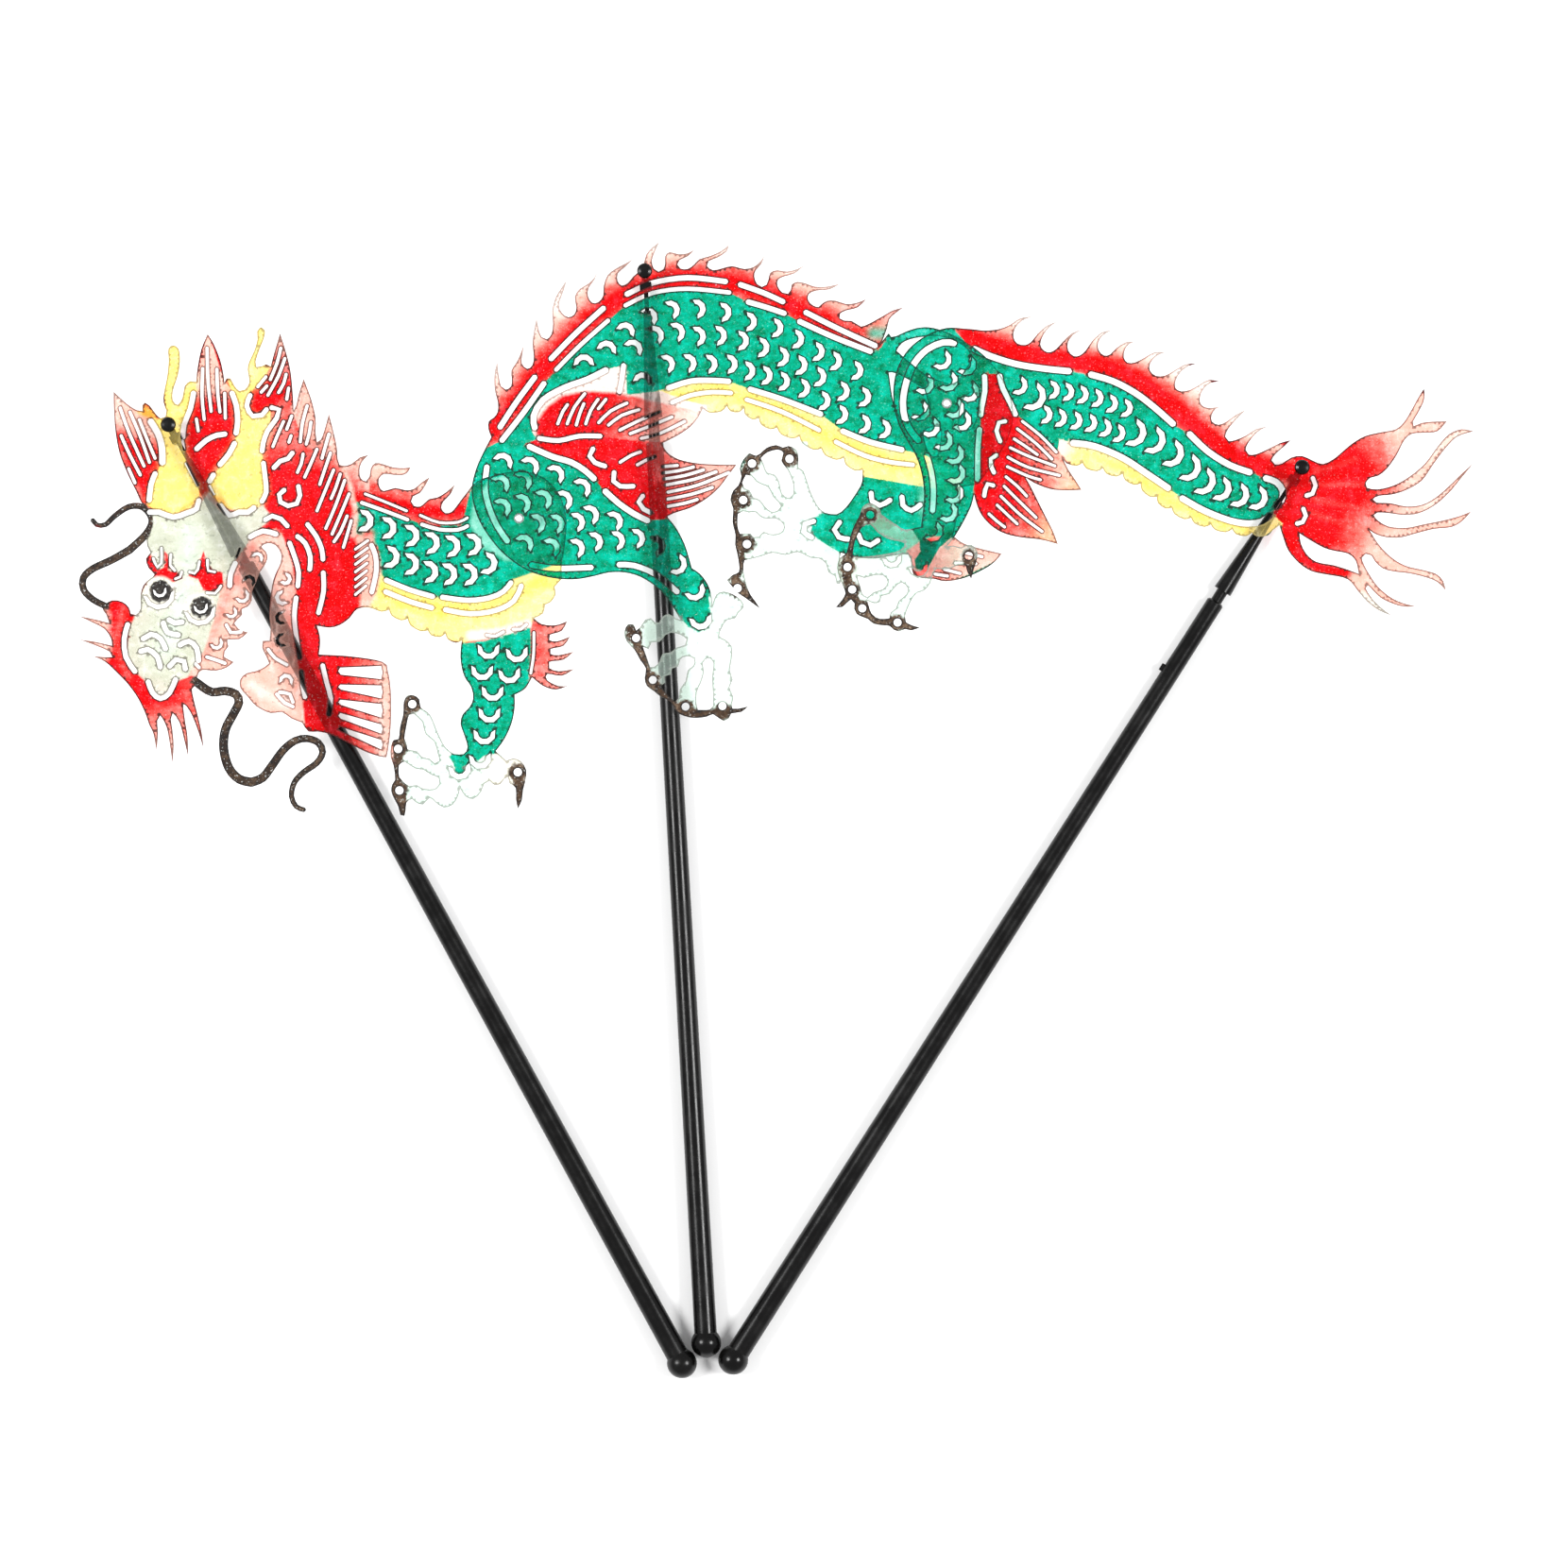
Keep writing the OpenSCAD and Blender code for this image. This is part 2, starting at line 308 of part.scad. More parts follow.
module front_leg_slots() {
    for (c = [[-91.3, 51, -90], [-82.2, 50, -85], [-93.3, 44.3, -90], [-84.6, 43.3, -85], [-90, 37.7, -90],
              [-91, 30.8, -90], [-92.6, 23.9, -90], [-93.9, 16.2, -85], [-100.3, 12.8, -80]])
        scale_cut([c[0], c[1]], c[2], 3.4, 1.7, 215);
    island([[-113.6, 29.8, 1], [-115, 31], [-116.5, 30.8], [-117.4, 27], [-118, 23.3], [-117.3, 21.6, 1],
        [-117, 19.9], [-114, 19.3], [-112.5, 17.5], [-110, 16.9], [-108.4, 15.5], [-107, 16.2],
        [-107.5, 18.6], [-108.7, 22.4], [-111.3, 24.6], [-112.4, 28.6]]);
    island([[-118, 15.9, 1], [-119.7, 14.8], [-119.6, 11], [-118.4, 9.7], [-116.5, 8.3], [-114, 8.6],
        [-112.5, 7.6], [-110, 7.2], [-108, 7.6], [-106.9, 9], [-107.2, 10.8], [-109.5, 11.7],
        [-112, 13.3], [-114.5, 13.7]]);
    eyelets(2.6, [[-115.5, 34.2], [-120, 20], [-119.6, 6.8], [-82, 12.6]]);
}
module front_whiskers() {
    band(1.5, 2.6, [[-217, 92.6], [-215.8, 91.2], [-213, 91.2], [-210, 94], [-205.5, 96.9], [-201, 96.7],
        [-198.2, 92.8], [-200, 88.3], [-205.3, 83.2]]);
    band(2.6, 2.1, [[-205.3, 83.2], [-211, 80], [-217, 77.2], [-220, 74.3], [-219.9, 70.6], [-217, 67.5],
        [-213, 65.4]]);
    band(2.8, 3, [[-186.2, 41.6], [-184.4, 41.4], [-182, 39.6], [-179, 38], [-175, 38.4], [-171.6, 37.4],
        [-170.6, 34.7], [-172.6, 30.6], [-174.9, 26], [-175.4, 20], [-173.8, 14], [-170.5, 10.4], [-166.6, 9.4]]);
    band(3, 1.6, [[-166.6, 9.4], [-163, 10.9], [-160, 14.8], [-156.5, 19.6], [-152.7, 22.6], [-149, 23.3],
        [-145.4, 22], [-144, 19], [-145.8, 15.6], [-150, 12.6], [-153, 9.3], [-153.9, 5], [-152.4, 1.7],
        [-150, 0.7]]);
}
module front_flat() difference() {
    union() { polygon(closed_curve(front_outline)); front_whiskers(); }
    mane_slots();
    comb_slots();
    ear_slots();
    face_slots();
    neck_slots();
    front_leg_slots();
    translate(front_pivot) circle(d = rivet_d + 2 * run_gap, $fn = 48);
    translate([head_place[0], head_place[1]]) circle(d = stem_d + 2 * run_gap, $fn = 48);
}
module front_sheet() color(film_red) translate([0, 0, front_z]) linear_extrude(sheet_t) front_flat();

// ---- middle sheet ----
back_flames = [[-90.4, 119, 1], [-91.3, 121.5], [-91.2, 124], [-89.6, 125.2], [-88.4, 127], [-88.3, 130],
    [-89.3, 134], [-89.4, 139], [-88.5, 143, 1], [-88, 138.5], [-87.3, 135.2], [-85.8, 134.1],
    [-84.1, 135.2], [-83.9, 137.6], [-84, 140.2], [-81.9, 143.6], [-80, 148.5, 1], [-80.5, 145.3],
    [-80.7, 142.4], [-79, 140.7], [-77.4, 141.8], [-76.9, 144.5], [-77.3, 148.5], [-76.9, 152.5],
    [-76, 157, 1], [-75.4, 153.5], [-74.4, 150.8], [-72.8, 150.1], [-71.3, 151.7], [-70.8, 155],
    [-71.1, 159], [-70, 163.3], [-68.4, 166], [-66.4, 169, 1], [-67.4, 165.5], [-68.9, 161],
    [-67.9, 158.4], [-66, 157.1], [-64.1, 157.9], [-63.4, 160.2], [-63.9, 163.6], [-62.3, 166.1],
    [-59.5, 167.8], [-57.6, 169.8], [-56.4, 172.3, 1], [-57.6, 169], [-59.4, 166.5], [-59.7, 163.8],
    [-58.4, 161.7], [-56.5, 161.8], [-54.9, 163.8], [-54.7, 167], [-53.5, 170.4], [-51, 172.4],
    [-48, 174], [-45.2, 175.6, 1], [-48, 173], [-50.2, 171], [-50.3, 168.6], [-49, 167.1],
    [-47, 167.9], [-45.3, 170], [-43.5, 171.6], [-42, 174], [-41.2, 177], [-39.2, 179.3],
    [-37, 181, 1], [-38.6, 177.5], [-39.4, 175], [-38.8, 172.5], [-37.3, 171.5], [-35.8, 172.2],
    [-35.2, 174.1], [-35.2, 176.4], [-33.8, 177.8], [-31, 177.1], [-28, 177.4], [-25.5, 178.8, 1],
    [-28, 176.4], [-30.6, 175.2], [-31.3, 173.8], [-30.3, 172.5], [-28, 172.4], [-26, 173.8],
    [-24.3, 175.5], [-21, 176.5], [-17.6, 178], [-15, 180, 1], [-15.6, 178], [-18.5, 176],
    [-21.3, 174.9], [-21.9, 173.4], [-20, 172], [-17, 172.6], [-14, 173.3], [-10, 172.4], [-7, 173.1],
    [-4.8, 175], [-3.5, 177, 1], [-4.6, 174], [-6.4, 172], [-6.9, 170], [-6, 167.6], [-4.5, 166.7],
    [-3, 167.4], [-2.4, 169], [-1.8, 171.2], [0.4, 172], [3.5, 171.6], [6.8, 172.4], [9.2, 173.7, 1],
    [6, 171], [2.6, 170], [0.7, 169], [0.5, 167], [2, 164.9], [3.8, 164.5], [4.7, 165.7],
    [5, 167.4], [6.8, 168.3], [9.5, 167.8], [12.3, 166.8], [16, 166.8], [20.4, 167.7, 1],
    [17, 165.9], [12.8, 165.5], [10.4, 164.4], [10.2, 162.5], [11.6, 160.9], [13.5, 160.3],
    [14.6, 161.3], [16.3, 162.3], [19, 162.3], [22.2, 161.3], [25.4, 161.6], [28.7, 162.8, 1],
    [26, 160.2], [22.3, 159.2], [20.4, 158.2], [20.2, 156.7], [21.7, 156], [24, 155.9],
    [25.5, 155], [27, 154.1], [29.5, 155], [33.5, 157.2], [37, 159.2], [40.5, 160.2, 1],
    [37.8, 158.2], [36, 156.4], [35.3, 153.6], [33.8, 149.6], [33, 148.4, 1]];
collar = [[34, 149.8], [35.8, 152, 1], [36.6, 150.8], [38.2, 151.1], [41, 152.4], [44.5, 153.6],
    [48.5, 153.9], [53, 152.8], [58, 150.5], [63, 147.4], [68, 143], [72, 137.5], [74.8, 131],
    [75.3, 124.5], [73.5, 118], [70, 112], [66.5, 107], [64, 104, 1], [58.6, 103, 1]];
hind_leg = [[58.5, 99], [57.6, 94], [56.3, 87.6, 1], [59.5, 85.3], [65, 83.6], [71.7, 82, 1], [69.5, 79.4],
    [66, 77], [60, 74.3], [54, 73.2], [50, 74], [46.5, 74.2], [43.6, 75.5], [43, 78.5], [42, 81.6],
    [37.5, 81.4], [31, 80.4], [25, 81], [20.6, 82.3, 1], [20.2, 79], [20.8, 75.5], [20.4, 72.4],
    [19.2, 72.4], [18.7, 74.8], [16.6, 76], [15.8, 78.8], [13.6, 80.4], [11, 80.6], [7, 82.4],
    [3, 81.5], [-1, 82.2], [-5, 81], [-8.2, 80.2, 1], [-9.9, 79.9], [-10.3, 77], [-9.4, 72.5],
    [-8.2, 69.2], [-6.5, 66.8], [-5, 64.5, 1], [-7.4, 66.2], [-9.7, 67.9], [-12, 69.4], [-13.5, 71],
    [-15.6, 73.6, 1], [-13.7, 75.3], [-11.8, 76.2], [-11.8, 79], [-12.4, 82.3], [-13, 85],
    [-12.9, 88], [-13.8, 92], [-13.6, 96.3], [-14.5, 99], [-13.6, 102], [-12, 103.6], [-11, 106.5],
    [-11.5, 109], [-10.3, 112], [-8.5, 114, 1], [-6.3, 113.1], [-5, 113.8], [-3, 115.6],
    [0, 116.5], [2.2, 115.7], [4, 116.2], [6.5, 115], [7.2, 112.3], [7.1, 109.4, 1], [8.7, 108.4],
    [9.8, 105.4], [11.3, 101], [13.4, 97], [15.5, 95, 1], [19.2, 94.5], [22.2, 96.7], [25.8, 101.8],
    [27.3, 104.8]];
belly = scallops([[27.4, 108.6], [21.5, 112.4], [14.4, 115.3], [7.4, 119.2], [0.3, 122], [-5.5, 125],
    [-10.2, 128.2], [-15.6, 128.8], [-23.2, 128]], 1.5);
wing_fins = [[-23.2, 128, 1], [-24.6, 125.3, 1], [-27, 122.4], [-31, 119.6], [-36.2, 117, 1], [-34.6, 114.2],
    [-31, 112], [-25, 110.7], [-18, 110.3], [-12.5, 110.3, 1], [-15, 107], [-18, 103], [-22, 99.5],
    [-27, 96.6], [-32, 95], [-34.6, 93.8, 1]];
second_leg = [[-31.6, 90], [-29, 85], [-27.5, 80.3], [-26.7, 77.4, 1], [-24, 75.5], [-21.5, 72], [-20.3, 68],
    [-20.3, 65.6, 1], [-19, 69], [-16.5, 70], [-13.5, 69], [-11, 67.2], [-10.2, 65], [-11.9, 63.2],
    [-13, 61.4], [-15.6, 60.8], [-17.2, 58.3], [-18, 55.8], [-16, 54.7], [-14, 52.5], [-14, 48.6],
    [-14.6, 45], [-13.7, 42], [-14.7, 39.5], [-13.5, 36.5], [-14, 34.2], [-13.8, 32.8, 1],
    [-12, 32.8], [-8.8, 33.5, 1], [-11, 31.7], [-14.2, 31.2], [-15, 29.6], [-16.5, 28.8],
    [-18.5, 30], [-20, 31], [-22, 30.2], [-25, 29.8], [-27.5, 30], [-30.5, 31], [-32, 32.5],
    [-33.5, 35], [-36.5, 36.5], [-39, 38.5], [-41, 40], [-41.7, 42.5], [-41.3, 45.5], [-43, 48],
    [-45, 51.5], [-47.4, 54], [-48.2, 57], [-47, 59.6], [-45.3, 59.6], [-44.4, 57.6, 1],
    [-43.2, 58.6], [-41.5, 61], [-39.7, 61.5], [-38.5, 60.3], [-37.2, 60.1], [-36, 62],
    [-34, 62.8], [-32, 61.6], [-30.4, 61, 1], [-32.3, 64.4], [-35, 68.4], [-38.5, 71.8], [-43, 74.6],
    [-48, 76], [-53, 76], [-58, 74.8], [-63, 73.9], [-68, 73.9], [-74, 74.9], [-80, 77.2], [-86, 81.5],
    [-90.5, 86.5], [-94, 92], [-96, 97.5], [-96.6, 103], [-95.2, 109], [-93, 114]];
middle_outline = concat(back_flames, collar, hind_leg, belly, wing_fins, second_leg);

module back_slots() {
    slots(1.65, [[[-87.6, 122.2], [-82.5, 130], [-76.6, 138]], [[-71.4, 143.9], [-63.5, 152], [-54.8, 159.9]],
        [[-47.3, 164.4], [-39, 168], [-28, 169.6], [-16, 168.4]], [[-11.3, 167.4], [-4, 164.8], [2.2, 162]],
        [[9.5, 158.6], [20, 153.3], [31.5, 148]], [[-87, 118], [-80, 127], [-73.7, 136]],
        [[7.5, 155.7], [18, 150.9], [30, 146.2]], [[-8.8, 161.9], [-3, 160.2], [2.6, 158.3]],
        [[-34.2, 134.6], [-27, 136.8], [-20, 137], [-15, 136.7]], [[-8.2, 134.2], [2, 131], [14.2, 126.3]],
        [[21.2, 120.9], [30, 117.4], [40, 115]]]);
    slots(1.3, [[[-69.8, 140.4], [-62, 148.3], [-53.3, 156]],
        [[-47.8, 160.8], [-39, 164.8], [-28, 166.1], [-14.8, 164.9]],
        [[-33, 130], [-27, 132.3], [-20, 133.3], [-14.3, 133]], [[-9.3, 130.9], [2, 127], [13.7, 121.2]],
        [[19, 117.5], [28, 113.2], [36, 111.1], [43.5, 110.2]]]);
}
module wing_slots() {
    slots(1.8, [[[-76.6, 122], [-77, 125.7], [-74, 130.8], [-67, 134.8], [-60, 137.3], [-54, 140.3]],
        [[-78.3, 116], [-71, 112.8], [-65, 111], [-60.7, 108.4], [-57.8, 105.8]],
        [[-54.2, 101.8], [-50, 98], [-45, 94.6], [-40.8, 92.5]]]);
    slots(1.45, [[[-48.4, 141.8], [-49, 137], [-49.7, 133.4]],
        [[-75.2, 118.6], [-69, 117.9], [-62.5, 119.3], [-55.8, 119.3]],
        [[-58.1, 115.3], [-59.2, 113], [-57.5, 110.9], [-54.3, 109.8]],
        [[-51.4, 107.8], [-51.6, 105], [-49.5, 103.4], [-45.3, 103.4]],
        [[-42.3, 100.3], [-43.6, 98.4], [-42, 96.1], [-39.8, 95]]]);
    slots(0.95, [[[-69.3, 123.2], [-67.6, 127.3], [-66.2, 129.3]],
        [[-66.3, 123.2], [-64, 128.5], [-60.7, 132.8]],
        [[-63.4, 122.8], [-62.3, 126.5], [-61, 129.6]], [[-60.4, 123.2], [-58.8, 127.5], [-56.5, 131]],
        [[-56.4, 128], [-54, 131]], [[-56.3, 123.6], [-52.5, 127.3], [-47.3, 129.8]],
        [[-53.2, 122.8], [-49, 125.9], [-43.5, 127.7]], [[-49.6, 121.2], [-44, 124], [-37, 127]],
        [[-46.3, 120.1], [-40, 122.5], [-33, 125.4]], [[-42.8, 118.6], [-37, 120.1], [-29, 124]],
        [[-36, 109.6], [-31.3, 110]], [[-36, 107.6], [-31, 108.3], [-26.2, 109.5]],
        [[-35.5, 105.7], [-29, 106.8], [-23, 108.6]], [[-35, 103.8], [-26, 105.6], [-19, 108]],
        [[-34.3, 101.5], [-25, 103.7], [-15, 107.7]], [[-34.4, 99.3], [-27, 100.8], [-20.2, 103]],
        [[-34.3, 97], [-29, 98], [-25, 99.2]], [[-49.5, 111], [-46, 113.2], [-43, 114.3]],
        [[-44, 110.2], [-41, 111.8], [-38.4, 112.8]]]);
}
module body_scales() {
    row([[-47.5, 153.2], [-40, 157.6], [-32.8, 159.7], [-24.5, 159.9], [-16.3, 158.7], [-8.2, 155.6],
        [0.2, 153.6], [6.8, 150], [13.3, 146], [18.8, 143], [25.6, 140]], 11, 65, -12, 2.9);
    row([[-53.6, 147.4], [-45, 147.6], [-38, 151.8], [-31.2, 152.6], [-24.5, 151.2], [-17.8, 151.3],
        [-10.8, 149.6], [-4.3, 147.4], [2, 144.4], [7.8, 141.7], [13.8, 138], [21.2, 133.4], [28, 131.6]],
        13, 75, -12, 3);
    row([[-34.3, 142.5], [-27.4, 142.6], [-20.7, 142.3], [-14.3, 142.2], [-8.7, 140], [-3.2, 138.5],
        [2.3, 136.6], [8.7, 134.4], [15.2, 130.4], [20.8, 126], [28, 123], [34.4, 121.4]], 12, 25, -12, 2.9);
    scale_cut([-61, 143], 90, 3.1);
    scale_cut([-42.2, 137.4], 80, 2.9);
}
module shoulder_scales() {
    row([[-86.4, 111.6], [-77.8, 110.2], [-69.7, 107.5], [-61.3, 103.2]], 4, 60, 40, 3.1);
    row([[-87.2, 104.6], [-80, 105.6], [-73.6, 99.5], [-67, 99.3], [-58.6, 94.6], [-51, 92.6]],
        6, 50, 30, 3.1);
    row([[-86.6, 97], [-80.2, 98.2], [-75.5, 91.8], [-69.4, 91.7], [-62.9, 92.2]], 5, 40, 20, 3);
    row([[-79.6, 85.6], [-71, 84.3], [-63, 84], [-57.2, 86], [-50.2, 86.3], [-43.8, 87], [-37.5, 84.7]],
        7, 50, 15, 3);
    scale_cut([-30.8, 78.2], -30, 3.2, 1.7, 200);
    scale_cut([-25.4, 69.6], -60, 3.2, 1.7, 200);
    scale_cut([-23.8, 60.4], -80, 3.4, 1.8, 200);
    slots(1.7, [[[-77.6, 78.4], [-70, 77.3], [-58.7, 77.6]],
        [[-49.8, 78.5], [-45, 78.2], [-38, 75.3], [-31.4, 69.9]],
        [[-91.8, 109.5], [-92.4, 103], [-91.2, 97], [-88.5, 90.7], [-85.3, 86]]]);
}
module second_foot_cuts() {
    island([[-42.2, 52.4, 1], [-40.5, 51.7], [-39.5, 53.8], [-37, 54], [-35, 56.2], [-33.4, 56.9],
        [-30.5, 56.3], [-28.4, 54.8], [-28.9, 53], [-31.5, 52.2], [-33.5, 50.6], [-36, 50.2],
        [-37, 47.7], [-38.7, 46], [-40, 46, 1]]);
    island([[-36.6, 39.9, 1], [-35.2, 41], [-35.4, 43], [-33.5, 43.6], [-33, 45.5], [-31, 46.2],
        [-30.4, 48.4], [-28.4, 49.4], [-26.1, 48.6], [-26.2, 46.5], [-28, 45], [-28.7, 41.5],
        [-30.5, 39], [-30.8, 36.2], [-32, 35, 1], [-34, 36.7]]);
    island([[-25.2, 34.5, 1], [-25.1, 38], [-23.8, 41], [-22.8, 44.5], [-23.2, 47.3], [-21.5, 48.8],
        [-19.9, 47.3], [-20.3, 43], [-20.1, 38], [-20, 33.7, 1], [-21, 32.5], [-24.8, 32.4, 1]]);
    eyelets(2.5, [[-44.4, 55.2], [-39.1, 41.9], [-28.7, 33.4], [-17, 33.6]]);
}
module hind_foot_cuts() {
    island([[-4.8, 112.3, 1], [-2.8, 114.1], [0.5, 115], [2.3, 114], [1.7, 111.5], [2.9, 109.6, 1],
        [4, 108], [5.4, 104], [5.4, 100.8], [4.2, 99.7], [2, 101], [1, 105], [-0.5, 107.1],
        [-2.8, 107.8], [-3.7, 110]]);
    island([[-9.5, 107, 1], [-8, 106.7], [-6.3, 104.8, 1], [-4.3, 103.8], [-2.5, 103], [-0.9, 100],
        [0.8, 98.3], [1.5, 97], [0.5, 95.7], [-1.5, 95.4], [-3.5, 97], [-5, 99], [-7.2, 99.9, 1],
        [-8.4, 102.2], [-10, 102.8], [-10.7, 104.5]]);
    island([[-12.1, 94.6, 1], [-10.5, 95.4], [-8.6, 95, 1], [-6.5, 95.1], [-5, 93.7], [-3, 93],
        [0, 93.1], [2.3, 91.3], [2.1, 89.3], [0.3, 88.3], [-2, 88.3], [-4, 89], [-5.5, 87.4],
        [-7.2, 87.3], [-8, 88.4, 1], [-10, 88.5], [-11.4, 88.3], [-12.2, 91]]);
    eyelets(2.6, [[4.3, 112.1], [-7.6, 110.6], [-10.4, 99], [-9.2, 85], [-12.2, 71]]);
    slots(1.55, [[[30.2, 101.2], [30.5, 98.7], [33, 97.3], [36.2, 99]],
        [[40, 100], [40.3, 97.4], [43, 95.7], [45.8, 97.5]],
        [[20.2, 92], [18.5, 89.6], [20, 87.2], [23, 86.6]],
        [[26.2, 88], [27.2, 85.7], [30, 84.7], [32.4, 86.2]],
        [[12, 92.3], [9.2, 91.4], [8.8, 88.9], [11.3, 87.2]]]);
    slots(0.9, [[[60, 82.3], [65.5, 81]], [[57, 79], [63.5, 78.8]], [[53.5, 77], [58.5, 75.7]],
        [[50.5, 75.5], [54.5, 74.9]]]);
}
// Openings round the rear pivot, which leave a hub on spokes
module hub_cuts() {
    island([[38.3, 146.4, 1], [42, 143.2], [48, 138.4, 1], [56, 136], [60, 140.5], [61.8, 144.2],
        [59.5, 148], [52, 151], [44, 150.4], [40, 148.8]]);
    island([[35.8, 139.5, 1], [38.6, 139.1], [47, 134.4, 1], [48.3, 129], [46, 126], [41, 124], [38.6, 127],
        [37, 131.5]]);
    island([[47, 120.8], [51.8, 122.2], [52.3, 118.6], [51, 113], [48.4, 114.4]]);
    island([[58.3, 125], [59.2, 130.6], [62.8, 133.2], [64.3, 128], [62, 121.8], [58.4, 121.4]]);
}
module middle_flat() difference() {
    polygon(closed_curve(middle_outline));
    back_slots();
    wing_slots();
    body_scales();
    shoulder_scales();
    second_foot_cuts();
    hind_foot_cuts();
    hub_cuts();
    for (c = [front_pivot, rear_pivot]) translate(c) circle(d = rivet_d, $fn = 48);
    translate([middle_place[0], middle_place[1]]) circle(d = stem_d, $fn = 48);
}
module middle_sheet() color(film_green) translate([0, 0, middle_z]) linear_extrude(sheet_t) middle_flat();

// ---- rear sheet ----
tail_collar = [[60, 153.4], [54, 153.6], [47.6, 151.2], [42, 146.8], [38.6, 141], [37.3, 135], [37.4, 129.5],
    [38.7, 123.5], [41.5, 118], [44.5, 112.8], [46.3, 107], [47, 101], [46.6, 95], [46, 90.5, 1]];
last_foot = [[41, 89.6], [38.5, 91], [36, 92.6], [33.4, 94.5, 1], [33, 96], [31.6, 97.4], [29.5, 98],
    [27.5, 96.8], [26.5, 94], [24.9, 91], [23.6, 87.5], [22.8, 83.6], [22, 81.8], [20.1, 80.4],
    [19.4, 77.5], [20, 74.5], [21.3, 71.5], [22, 69.3], [20.7, 67], [19, 65, 1], [21, 65],
    [22.6, 66.4], [23.8, 67.4], [24.9, 66.2], [24.8, 64.4], [25.6, 62.8], [27.6, 61.8], [29.2, 61.2],
    [31, 59.7], [34, 59.2], [36, 59], [37.5, 57.7], [39, 57.2], [41, 58], [43, 57.6], [45.7, 58.5, 1],
    [43, 59.3], [41.3, 60.2, 1], [41, 62], [42, 65], [43.5, 68], [44.7, 69.4], [47, 70.2],
    [49, 72.5], [49.7, 75], [51, 77], [53.4, 76.9], [56, 77.4], [58, 78.4], [60.2, 78.2, 1],
    [60.8, 76], [62, 74, 1], [62.8, 77], [63.8, 80], [63.9, 83], [62, 84.8], [60.2, 84.7],
    [58.7, 84], [56.5, 84.6], [54.4, 84.4, 1]];
wing_back = [[56.5, 87], [59.5, 92], [62, 97.2], [62.9, 100.8, 1], [63.6, 98], [65.4, 94], [69, 90.3],
    [73, 88.2], [78, 87.1], [84, 86.4], [89.5, 85, 1], [88, 89], [85.5, 94], [83, 99], [81, 103],
    [79.2, 106.2, 1], [82, 104.4], [87, 102.5], [92, 102], [97, 102.2, 1], [95, 105.4], [92.6, 109]];
tail_belly = scallops([[91, 112.4], [97.3, 110.7], [103.8, 109], [110, 107.3], [115.7, 104.2], [120.9, 100],
    [125.6, 96.5], [131.8, 93.3], [138, 91.2], [144.8, 89.7], [151, 88.6], [157.6, 89.3]], -1.4);
fluke = [[157.6, 89.3, 1], [159.8, 91, 1], [161, 87.2], [162.6, 83], [166, 79], [170, 76.4], [175, 75.3],
    [180, 74.4], [182.5, 73], [184.5, 70.4], [187.5, 66.9], [191.3, 64], [195.6, 62.2, 1],
    [192.2, 64.8], [189.2, 67.8], [187.2, 71], [187.9, 71.9], [189.4, 70.4], [192, 67.9], [196, 66],
    [199.5, 65.1], [203.3, 65.2, 1], [199, 66.3], [195, 68.2], [191.2, 71.4], [188.6, 75],
    [186.7, 78.4], [186, 80.7], [187.2, 81.9], [189, 81.4], [190.2, 79.4], [192.6, 77.3], [196, 76.3],
    [201, 75.7], [206, 74.5], [210, 72.9], [212.6, 70.3, 1], [211.8, 73.3], [209.5, 75.6],
    [205, 76.9], [200, 78.1], [195.6, 80.6], [191.6, 84.6], [188.4, 89.4, 1], [190.5, 88.1],
    [194, 87.1], [198.5, 87.1], [203, 88.3], [209, 89.8], [214.5, 90.4], [218, 92.4], [220.8, 95.5, 1],
    [217.5, 94.1], [212, 92.6], [206, 91.4], [200, 90.2], [194.5, 90.6], [191.2, 92.4], [189.8, 94.2],
    [191, 95], [194.6, 94.8], [199.5, 94.2], [204.2, 94.8], [209, 97.2], [213.6, 101.2], [217.6, 106],
    [221.7, 111, 1], [218, 107.7], [214, 103.8], [209.5, 99.9], [205, 97.5], [200, 97], [195, 98],
    [190.6, 98.2], [189.5, 99.2], [191.4, 100.3], [195.4, 100.7], [200, 102.1], [205, 105.1],
    [208.5, 110], [212.2, 115], [216.2, 119], [221.5, 120.8, 1], [217.6, 121.5], [213.6, 119.9],
    [210, 116], [206, 110.6], [201, 106.4], [196, 103.6], [191, 102.4], [187.6, 102.9], [187.2, 104.3],
    [188.6, 106], [191.2, 106.7], [194, 109], [197, 113.2], [199.5, 118], [202, 120], [206, 120.3],
    [210, 120.8], [213, 124, 1], [208.5, 123.9], [204.9, 123.5], [202.4, 122.5], [202.2, 123.8],
    [203.7, 126.4], [205.5, 130], [205.9, 132.3], [205.7, 134.4, 1], [203.8, 131.4], [201.5, 127.2],
    [199.4, 123.8], [196.8, 121.5], [192, 120.5], [187, 119.3], [183, 117], [180, 114.5], [177, 112],
    [173.6, 110.4], [170.4, 111.5], [167, 113], [163.6, 112.5], [160.6, 110.6]];
